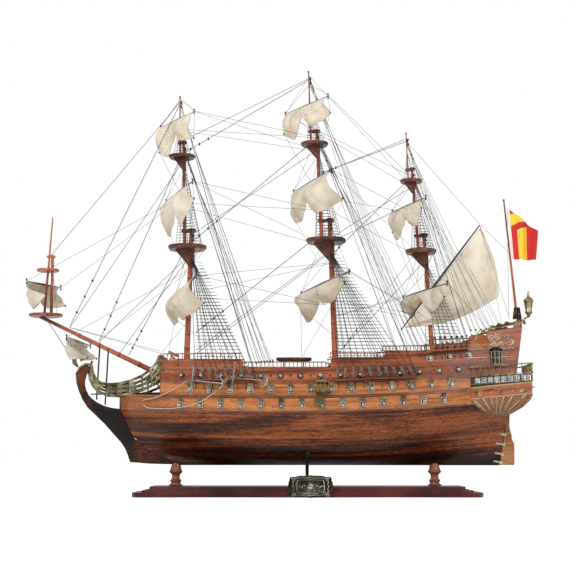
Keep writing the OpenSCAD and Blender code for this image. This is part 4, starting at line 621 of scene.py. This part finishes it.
for number, (name, q) in enumerate(square_sails.items()):
    x, z, long, brace, radius, arch, port, starboard, belly, node = q
    a = math.radians(brace)
    half = long * 0.45
    rows = []
    for i in range(29):
        v = i / 28
        row = []
        for j in range(57):
            u = j / 28 - 1
            deep, clew, haul = port if u < 0 else starboard
            w = abs(u)
            if w < 0.5:
                s = math.sin(math.pi * w) ** 1.3
                low = arch + (deep - arch) * s
            else:
                low = deep + (clew - deep) * ((w - 0.5) / 0.5) ** 1.7
            full = 0.55 + 0.45 * math.sin(math.pi * min(1, w * 1.15))
            out = radius + 0.7 + belly * math.sin(math.radians(165) * v) * full
            out -= haul * v ** 1.4 * max(0, (w - 0.45) / 0.55) ** 1.4
            fold = math.sin(u * 17 + v * 5 + number) * (1 - v) * v * 5 * (0.3 + w)
            crumple = noise.fractal(Vector((u * 2.6, v * 1.8, number * 3.7)), 0.8, 2.0, 4)
            fold += 9 * crumple * v * (1.1 - 0.5 * v)
            out += fold
            along = u * half * (1 - 0.1 * v)
            low *= 1 + 0.05 * noise.noise(Vector((u * 4, 0, number * 1.9)))
            hang = low * (v - 0.06 * math.sin(math.pi * v))
            row.append(Vector((x - math.sin(a) * along - math.cos(a) * out,
                               math.cos(a) * along - math.sin(a) * out,
                               z - radius * 0.6 - 0.4 - hang)) / 1000)
        rows.append(row)
    clews[name] = (rows[-1][0] * 1000, rows[-1][-1] * 1000)
    hoist(name, rows, node)

foot, peak, clew = Vector((174, -8.4, 303)), Vector((324, -8.4, 501)), Vector((356, -8.4, 366))
rows = []
for i in range(33):
    v = i / 32
    row = []
    for j in range(49):
        u = j / 48
        head = foot.lerp(peak, 0.04 + 0.92 * u) + Vector((3.1, 0, -2.4))
        if u < 0.55:
            edge = foot.lerp(clew, 0.1 + 0.9 * u / 0.55) - Vector((0, 0, 14 * math.sin(math.pi * u / 0.55)))
        else:
            s = (u - 0.55) / 0.45
            edge = clew.lerp(peak, 0.95 * s) + Vector((9 * math.sin(math.pi * s), 0, 0))
        p = head.lerp(edge, v)
        full = math.sin(math.pi * v) * math.sin(math.pi * u)
        p.y -= 13 * full + 6 * noise.fractal(Vector((u * 3, v * 2, 50)), 0.8, 2.0, 4) * v
        row.append(p / 1000)
    rows.append(row)
hoist("lateen_sail", rows, "mizzen_sails")

# ------------------------------------------------------------------ flag
# A printed cotton flag laced to the staff: a cream hem, then plain red, yellow and red bands.
# It hangs limp by its hoist: the upper corner folds over level, and the fly falls with its bands upright.
m, t, skin, place = finish_base("flag_print", 0.75)
at = add(t, "SeparateXYZ", {0: add(t, "UVMap").outputs[0]})
wander = add(t, "TexNoise", {"Vector": place, "Scale": 60.0, "Detail": 3.0}).outputs["Fac"]
level = calc(t, "MULTIPLY_ADD", at.outputs[0], 0.6, at.outputs[1])
level = calc(t, "MULTIPLY_ADD", wander, 0.003, level)
upper = calc(t, "MULTIPLY", level, 24.5)
lower = calc(t, "MULTIPLY", at.outputs[0], 14.0)
bend = add(t, "Mix", {0: calc(t, "GREATER_THAN", level, 0.041), 2: upper,
                      3: lower}).outputs[0]
bands = ramp(t, bend, (0.0, (0.62, 0.02, 0.02)), (0.3, (0.62, 0.02, 0.02)), (0.31, (0.9, 0.6, 0.05)),
             (0.73, (0.9, 0.6, 0.05)), (0.74, (0.62, 0.02, 0.02)), (1.0, (0.55, 0.02, 0.02)))
hem = calc(t, "LESS_THAN", at.outputs[0], 0.0055)
mix = add(t, "Mix", {0: hem, 6: bands}, data_type="RGBA")
mix.inputs[7].default_value = (0.82, 0.76, 0.62, 1)
t.links.new(mix.outputs[2], skin.inputs["Base Color"])
threads = add(t, "TexWave", {"Vector": add(t, "UVMap").outputs[0], "Scale": 900.0}).outputs["Fac"]
relief(t, skin, threads, 0.2, 0.0002)
flag_print = m
hoist_head, hoist_foot = Vector((377.4, 0, 536)), Vector((384.8, 0, 438))
down_steps, fly_steps = 40, 36
rows = []
for i in range(down_steps + 1):
    v = i / down_steps
    top = hoist_head.lerp(hoist_foot, v)
    row = []
    for j in range(fly_steps + 1):
        u = j / fly_steps
        wave = math.sin(u * 11 + 0.8 * v) * (3 + 5 * u) * min(1, u * 4)
        row.append(Vector((top.x + 56 * u ** 0.95 - 13 * v * u, wave + 3 * v * math.sin(u * 6),
                           top.z - 46 * u * (1 - v) - 3 * v * u)) / 1000)
    rows.append(row)
flag = cloth_sheet("ship_flag", rows, flag_print, 0.0004)
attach(flag, "ship")
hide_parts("flag")

# ------------------------------------------------------------------ painted port shade and muzzle rings
# Black boards behind the guns are painted shade for the dark inside of the ports, and each muzzle has a turned
# ring whose near-white colour is a painted highlight.
# One board and one ring are made and set round the hull.


def islands(node):
    """The separate solids of a CAD node, each as its list of points."""
    data = nodes[node].data
    key = [tuple(round(c * 100000) for c in v.co) for v in data.vertices]
    root = {k: k for k in key}

    def find(k):
        while root[k] != k:
            root[k] = root[root[k]]
            k = root[k]
        return k

    for face in data.polygons:
        first = find(key[face.vertices[0]])
        for i in face.vertices[1:]:
            root[find(key[i])] = first
    groups = {}
    for k in sorted(root):
        groups.setdefault(find(k), []).append(Vector(k) / 100000)
    return [groups[g] for g in sorted(groups)]


def skin_of(*names):
    """The outer surface of the named nodes, to find places on it."""
    points, faces = [], []
    for n in names:
        base = len(points)
        points += [v.co.copy() for v in nodes[n].data.vertices]
        faces += [[base + i for i in f.vertices] for f in nodes[n].data.polygons]
    return BVHTree.FromPolygons(points, faces)


def spread(name, master, places, finish, node, body="ship"):
    """Copies of one modelled piece, set at each place and joined into one."""
    bpy.ops.object.select_all(action="DESELECT")
    for place in places:
        o = master.copy()
        o.data = master.data.copy()
        o.data.transform(place)
        bpy.context.collection.objects.link(o)
        o.select_set(True)
        bpy.context.view_layer.objects.active = o
    bpy.data.objects.remove(master)
    bpy.ops.object.join()
    o = bpy.context.object
    o.name = name
    o.data.materials.clear()
    o.data.materials.append(finish)
    bpy.ops.object.shade_smooth_by_angle(angle=math.radians(40))
    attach(o, body)
    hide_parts(node)
    return o


def facing(point, normal):
    """A place with its Z along the normal."""
    return Matrix.Translation(point) @ normal.to_track_quat("Z", "Y").to_matrix().to_4x4()


sides = skin_of("upper_topside_port", "upper_topside_starboard", "lower_topside_port",
                "lower_topside_starboard")
iron_black = cast_finish("iron_black", (0.006, 0.005, 0.005), (0.018, 0.015, 0.013), (0.06, 0.05, 0.045),
                         rough=0.5, metal=0.0)
# Near-white ring colour on a partly metallic turned ring: a painted highlight for the glint on each muzzle.
muzzle_highlight_silver = cast_finish("muzzle_highlight_silver", (0.5, 0.49, 0.46), (0.75, 0.74, 0.7), (0.9, 0.89, 0.86), rough=0.3,
                            metal=0.4)
places = []
for points in islands("gunport_frames"):
    middle = sum(points, Vector()) / len(points)
    hit, normal, _, _ = sides.find_nearest(middle)
    places.append(facing(hit + normal * 0.0002, normal))


def squash(size):
    """Scales the selected primitive into its mesh."""
    bpy.ops.transform.resize(value=size)
    bpy.ops.object.transform_apply(location=False, rotation=False, scale=True)


# A thin black board inside each port frame: painted shade where the open port would be dark.
bpy.ops.object.select_all(action="DESELECT")
bpy.ops.mesh.primitive_cube_add(size=1)
squash((0.0074, 0.0074, 0.0006))
spread("port_boards", bpy.context.object, places, iron_black, "gunport_frames")
places = []
for points in islands("gun_barrels"):
    middle = sum(points, Vector()) / len(points)
    hit, normal, _, _ = sides.find_nearest(middle)
    normal = Vector((0, math.copysign(1, middle.y), 0)) if abs(normal.y) < 0.3 else normal
    far = max((p - middle).dot(normal) for p in points)
    places.append(facing(sum((p for p in points if (p - middle).dot(normal) > far - 0.0006), Vector())
                         / sum(1 for p in points if (p - middle).dot(normal) > far - 0.0006), normal))
# A turned ring at each muzzle, coloured near white as a painted highlight.
bpy.ops.object.select_all(action="DESELECT")
bpy.ops.mesh.primitive_torus_add(major_radius=0.0016, minor_radius=0.00075, major_segments=16, minor_segments=6)
spread("muzzle_rings", bpy.context.object, places, muzzle_highlight_silver, "gun_barrels")

# ------------------------------------------------------------------ ratlines
# Rope ladders across the shrouds: a thin tarred line at every step, seized to each shroud.
# They run from just above the deadeyes to the tops, and again above the tops.


def rope_net(name, lines, radius, finish, node, sides=0):
    """Many thin ropes as one piece, which rides with the node that it dresses."""
    o = rope_tubes(name, lines, radius, finish, sides=sides)
    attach(o, next(b for b, e in frame["bodies"].items() if nodes[node].parent is e))
    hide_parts(node)
    return o


def gang_of(points):
    """The feet, in order along the hull, and the shared head of one gang of shrouds."""
    low_z, high_z = min(p.z for p in points), max(p.z for p in points)
    middle = [p for p in points if low_z + 0.016 < p.z < high_z - 0.04]
    knots = []
    for p in middle or [p for p in points if p.z < low_z + 0.016]:
        near = next((k for k in knots if (sum(k, Vector()) / len(k) - p).length < 0.003), None)
        if near is None:
            knots.append([p])
        else:
            near.append(p)
    feet = sorted((sum(k, Vector()) / len(k) for k in knots), key=lambda p: p.x)
    head = [p for p in points if p.z > high_z - 0.0015]
    return feet, sum(head, Vector()) / len(head)


lines, lanyards = [], []
for points in islands("shrouds"):
    if max(p.z for p in points) - min(p.z for p in points) > 0.06:
        feet, head = gang_of(points)
        if len(feet) < 3:
            continue
        upper = feet[0].z > 0.4
        heads_of = [head - Vector((0, 0, 0.0011 * (len(feet) - 1 - i if upper else i)))
                    for i in range(len(feet))]
        level = max(f.z for f in feet) + 0.004
        while level < head.z - (0.016 if upper else 0.024):
            lines.append([f.lerp(h, (level - f.z) / (h.z - f.z)) for f, h in zip(feet, heads_of)])
            level += 0.0056 if upper else 0.0063
        if not upper:
            for f, h in zip(feet, heads_of):
                along = (h - f).normalized()
                out = Vector((0, math.copysign(0.0012, f.y), 0))
                for k in (-0.0019, 0, 0.0019):
                    lanyards.append([f - along * 0.0225 + out + Vector((k, 0, 0)),
                                     f - along * 0.0025 + out + Vector((k, 0, 0))])
rope_net("ratlines", lines, 0.00036, rigging_cord, "shrouds")
lanyard_cord = cord_finish("lanyard_cord", (0.22, 0.2, 0.17), (0.62, 0.58, 0.52), 1100)
rope_net("deadeye_lanyards", lanyards, 0.0004, lanyard_cord, "deadeyes")

# ------------------------------------------------------------------ running rigging
# Lifts, braces and sheets that work the yards, and the extra backstays: fine grey-brown line.
# Each yard end, clew and mast head carries a small black block.
running_cord = cord_finish("running_cord", (0.03, 0.027, 0.024), (0.16, 0.145, 0.13), 1100)
heads = ((Vector((-215.8, 0, 488)), Vector((-232, 0, 655)), Vector((-240.6, 0, 745))),
         (Vector((43.6, 0, 508)), Vector((20.2, 0, 678)), Vector((4.8, 0, 792))),
         (Vector((220, 0, 479)), Vector((199.4, 0, 604)), Vector((189.4, 0, 672))))
led_to = {"fore_course": (45, 0, 430), "fore_topsail": (38, 0, 462), "fore_topgallant": (18, 0, 646),
          "main_course": (236, 0, 318), "main_topsail": (217, 0, 440), "main_topgallant": (198, 0, 576),
          "cross_jack": (52, 0, 330), "mizzen_topsail": (44, 0, 470), "sprit_sail": (-214, 0, 420),
          "sprit_topsail": (-228, 0, 560)}
forward = (((-330, 0, 258), (-385, 0, 284), (-440, 0, 312)), ((-206, 0, 300), (-216, 0, 470), (-234, 0, 640)),
           ((60, 0, 262), (40, 0, 440), (22, 0, 600)))
lines, places = [], []
for name, q in square_sails.items():
    x, z, long, brace, radius = q[:5]
    a = math.radians(brace)
    tier = 0 if z < 450 else 1 if z < 600 else 2
    mast = 0 if x < -100 else 1 if x < 120 else 2
    for s in (-1, 1):
        end = Vector((x - s * math.sin(a) * long * 0.485, s * math.cos(a) * long * 0.485, z))
        if not name.startswith("sprit"):
            lines.append([end, heads[mast][tier] + Vector((0, s * 3, 0))])
        lines.append([end, Vector(led_to[name]) + Vector((0, s * 4, 0))])
        for drop in (-3.4, 3.4):  # a block above and one below each yard end
            places.append(Matrix.Translation((end + Vector((0, 0, drop))) / 1000))
        corner = clews[name][0 if s < 0 else 1]
        places.append(Matrix.Translation(corner / 1000))
        if name.endswith("course"):
            lines.append([corner, Vector((x + 95, s * 84, 240))])
            lines.append([corner, Vector((x - 40, s * 70, 250))])
        elif not name.startswith("sprit") and tier:
            lines.append([corner, Vector((x + 12, s * 24, z - 150))])
            lines.append([corner, end])
rails = ((-92, 236, 30), (200, 250, 30), (296, 296, 56))
for mast, (x, z, long) in enumerate(rails):
    for s in (-1, 1):
        for k in range(7):
            at_x = x + long * k / 6
            hit, _, _, _ = sides.ray_cast(Vector((at_x / 1000, s * 0.2, (z - 40) / 1000)), Vector((0, -s, 0)))
            if hit:
                foot = Vector((at_x, (hit.y * 1000) - s * 3, z + (at_x - x) * 0.1))
                lines.append([foot, heads[mast][1 + k % 2] + Vector((0, s * 2, -3 * k))])
                places.append(Matrix.Translation((foot + Vector((0, 0, 2))) / 1000))
for mast in range(3):
    for tier, head in enumerate(heads[mast]):
        for s in (-1, 1):
            aim = Vector(forward[mast][tier]) + Vector((0, s * 3, 0))
            lines.append([head + Vector((0, s * 2, -8)), aim])
            for share in (0.8, 0.87, 0.94):
                places.append(Matrix.Translation((head + Vector((0, s * 2, -8))).lerp(aim, share) / 1000))
            for drop in (-6, -14):
                places.append(Matrix.Translation((head + Vector((3, s * 5, drop))) / 1000))
peak = Vector((324, -8.4, 501))
for s in (-1, 1):
    lines.append([peak, Vector((372, s * 42, 312))])
    lines.append([peak.lerp(Vector((174, -8.4, 303)), 0.25), Vector((352, s * 52, 306))])
    lines.append([Vector((-488, s * 9, 362)), Vector((-484, 0, 430))])
    lines.append([Vector((-352, s * 16, 262)), Vector((-478, s * 4, 322))])
lines.append([Vector((376, 2, 330)), Vector((378, 2, 532))])
rope_net("running_rigging", [[p / 1000 for p in x] for x in lines], 0.0003, running_cord, "stays")
bpy.ops.object.select_all(action="DESELECT")
bpy.ops.mesh.primitive_uv_sphere_add(segments=10, ring_count=6, radius=1)
squash((0.0016, 0.0013, 0.0022))
spread("rigging_blocks", bpy.context.object, places, iron_black, "stays")

# ------------------------------------------------------------------ mast caps
# A black domed cap on each lower mast head and topmast head, with a smaller one over the next mast's heel.
# Turned from hardwood and painted.
caps = []
for mast in heads:
    for tier, lift in ((0, 4.5), (1, 6.5)):
        head = mast[tier] + Vector((0, 0, lift))
        size = (1.0, 0.74)[tier]
        caps.append(Matrix.Translation(head / 1000) @ Matrix.Scale(size, 4))
        heel = head + Vector((-11 * size, 0, -2.5))
        caps.append(Matrix.Translation(heel / 1000) @ Matrix.Scale(size * 0.7, 4))
bpy.ops.object.select_all(action="DESELECT")
bpy.ops.mesh.primitive_uv_sphere_add(segments=20, ring_count=10, radius=1)
squash((0.0082, 0.007, 0.0042))
spread("mast_caps", bpy.context.object, caps, iron_black, "mast_tops")

# ------------------------------------------------------------------ stern carving
# Gilt roundels on the frieze, slanting gilt brackets over the windows, and carved scrolls on the poop side.
# Cast ornaments pinned to the wood.
gallery = skin_of("quarter_galleries")
pale_gilt = cast_finish("pale_gilt", (0.25, 0.2, 0.11), (0.55, 0.47, 0.3), (0.78, 0.71, 0.52), rough=0.4,
                        metal=0.6)
places, studs = [], []
for s in (-1, 1):
    for k, x in enumerate((0.307, 0.327, 0.347, 0.366, 0.3845)):
        frieze = Vector((x, s * 0.2, 0.1875 + 0.1 * (x - 0.347)))
        hit, normal, _, _ = gallery.ray_cast(frieze, Vector((0, -s, 0)))
        if hit:
            (studs if k % 2 else places).append(facing(hit + normal * 0.0003, normal))
bpy.ops.object.select_all(action="DESELECT")
bpy.ops.mesh.primitive_torus_add(major_radius=0.0042, minor_radius=0.0009, major_segments=20, minor_segments=6)
spread("frieze_rings", bpy.context.object, places, pale_gilt, "quarter_galleries")
bpy.ops.object.select_all(action="DESELECT")
bpy.ops.mesh.primitive_uv_sphere_add(segments=12, ring_count=6, radius=1)
squash((0.0021, 0.0021, 0.0009))
spread("frieze_studs", bpy.context.object, places + studs, pale_gilt, "quarter_galleries")


def on_skin(surface, s, x, z, off=0.0004):
    """A point just off the side of the hull, at x and z in metres."""
    hit, normal, _, _ = surface.ray_cast(Vector((x, s * 0.2, z)), Vector((0, -s, 0)))
    return hit + normal * off if hit else None


carving = []
for s in (-1, 1):
    for x in (0.322, 0.338, 0.354, 0.37):
        line = [on_skin(gallery, s, x + 0.004 * k / 3, 0.217 + 0.1 * (x - 0.347) + 0.0048 * k, 0.0006)
                for k in range(4)]
        carving.append([p for p in line if p])
    for x, z, size, turns, start in ((0.332, 0.284, 0.0062, 1.6, 0), (0.346, 0.288, 0.007, 1.7, 2),
                                     (0.361, 0.287, 0.006, 1.6, 4), (0.339, 0.274, 0.005, 1.4, 1),
                                     (0.352, 0.275, 0.0052, 1.5, 3), (0.371, 0.279, 0.0045, 1.4, 5)):
        line = []
        for k in range(22):
            turn = start + turns * math.tau * k / 21
            reach = size * (1 - 0.8 * k / 21)
            line.append(on_skin(sides, s, x + reach * math.cos(turn), z + reach * math.sin(turn), 0.0006))
        carving.append([p for p in line if p])
    sweep = [on_skin(sides, s, 0.318 + 0.056 * k / 16, 0.270 + 0.004 * math.sin(k * 0.8) + 0.006 * k / 16,
                     0.0006) for k in range(17)]
    carving.append([p for p in sweep if p])
    for z in (0.2475, 0.263):
        strip = [on_skin(sides, s, 0.288 + 0.086 * k / 12, z + 0.0042 * k / 12, 0.0006) for k in range(13)]
        carving.append([p for p in strip if p])
rope_net("stern_scrolls", [x for x in carving if len(x) > 1], 0.0009, pale_gilt, "quarter_galleries", sides=1)

# ------------------------------------------------------------------ plaque border
# A raised scrolled frame and a sunburst on the cast plate of the stand; its field is left blank.
# Bright rubbed pewter over the dark cast ground.
plate_low, plate_high = (Vector(v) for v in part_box("nameplate"))
mid_x, mid_z = (plate_low.x + plate_high.x) / 2, (plate_low.z + plate_high.z) / 2
half_x, half_z = (plate_high.x - plate_low.x) / 2, (plate_high.z - plate_low.z) / 2
plate_skin = skin_of("nameplate")


def on_plate(x, z):
    hit, _, _, _ = plate_skin.ray_cast(Vector((x, plate_low.y - 0.05, z)), Vector((0, 1, 0)))
    return hit + Vector((0, -0.0002, 0)) if hit else None


frames = []
for inset, wave in ((0.80, 0.03), (0.62, 0.0)):
    line = []
    for k in range(97):
        a = math.tau * k / 96
        c, d = math.cos(a), math.sin(a)
        reach = inset * (1 + wave * math.cos(12 * a)) / max(abs(c), abs(d)) ** 0.82
        line.append(on_plate(mid_x + half_x * reach * c * 0.98, mid_z + half_z * reach * d * 0.94))
    frames.append([p for p in line if p])
for sx in (-1, 1):
    for sz in (-1, 1):
        line = []
        for k in range(24):
            a = math.tau * 1.5 * k / 23
            reach = 0.0042 * (1 - 0.8 * k / 23)
            line.append(on_plate(mid_x + sx * (half_x * 0.74 + reach * math.cos(a)),
                                 mid_z + sz * (half_z * 0.66 + reach * math.sin(a))))
        frames.append([p for p in line if p])
for k in range(16):
    a = math.tau * k / 16
    c, d = math.cos(a), math.sin(a)
    line = [on_plate(mid_x + r * c, mid_z + r * d) for r in (0.0014, 0.0042, 0.0064 if k % 2 else 0.0052)]
    frames.append([p for p in line if p])
for sx in (-1, 1):
    line = []
    for k in range(30):
        u = k / 29
        line.append(on_plate(mid_x + sx * (0.009 + u * half_x * 0.36),
                             mid_z + 0.0026 * math.sin(u * 9.4) * (1 - u * 0.6)))
    frames.append([p for p in line if p])
plaque_silver = cast_finish("plaque_silver", (0.12, 0.11, 0.09), (0.4, 0.37, 0.31), (0.72, 0.69, 0.6),
                            rough=0.38)
rope_net("plaque_border", [x for x in frames if len(x) > 1], 0.0007, plaque_silver, "nameplate", sides=1)

# ------------------------------------------------------------------ poop shoulders and sentry boxes
# Rounded boards that end the poop sides, a small domed sentry box each side, and the black flagstaff step.
# Turned and sawn from the same red wood; the domes and the step are painted black.
shoulders, boxes, domes, mullions = [], [], [], []
for s in (-1, 1):
    hit, _, _, _ = sides.ray_cast(Vector((0.312, s * 0.2, 0.27)), Vector((0, -s, 0)))
    flat = Matrix.Rotation(math.radians(90), 4, "X")
    shoulders.append(Matrix.Translation((0.3035, hit.y - s * 0.0017, 0.2772)) @ flat)
    shoulders.append(Matrix.Translation((0.3155, hit.y - s * 0.0019, 0.2778)) @ flat)
    hit, _, _, _ = sides.ray_cast(Vector((0.341, s * 0.2, 0.25)), Vector((0, -s, 0)))
    boxes.append(Matrix.Translation((0.341, hit.y, 0.2475)))
    domes.append(Matrix.Translation((0.341, hit.y, 0.2615)))
    for turn in (-60, -20, 20, 60):
        a = math.radians(turn)
        foot = Vector((0.341 + 0.0108 * math.sin(a), hit.y + s * 0.0108 * math.cos(a), 0.2355))
        mullions.append([foot, foot + Vector((0, 0, 0.0245))])
    for z in (0.237, 0.248, 0.2595):
        mullions.append([Vector((0.341 + 0.0109 * math.sin(math.radians(t)),
                                 hit.y + s * 0.0109 * math.cos(math.radians(t)), z))
                         for t in range(-80, 81, 20)])
bpy.ops.object.select_all(action="DESELECT")
bpy.ops.mesh.primitive_cylinder_add(vertices=48, radius=0.0132, depth=0.003)
spread("poop_shoulders", bpy.context.object, shoulders, red_wood, "taffrail")
bpy.ops.object.select_all(action="DESELECT")
bpy.ops.mesh.primitive_cylinder_add(vertices=24, radius=0.0105, depth=0.0255)
spread("sentry_boxes", bpy.context.object, boxes, iron_black, "quarter_galleries")
bpy.ops.object.select_all(action="DESELECT")
bpy.ops.mesh.primitive_uv_sphere_add(segments=24, ring_count=12, radius=0.0118)
squash((1, 1, 0.55))
spread("sentry_domes", bpy.context.object, domes, gun_black, "quarter_galleries")
rope_net("sentry_mullions", mullions, 0.0006, pale_gilt, "quarter_galleries", sides=1)
staff_low, staff_high = (Vector(v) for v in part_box("flagstaff"))
bpy.ops.object.select_all(action="DESELECT")
bpy.ops.mesh.primitive_cone_add(vertices=24, radius1=0.0085, radius2=0.0055, depth=0.021)
spread("staff_step", bpy.context.object, [Matrix.Translation((staff_high.x - 0.0062, 0, staff_low.z + 0.0115))],
       gun_black, "flagstaff")

low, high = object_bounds()
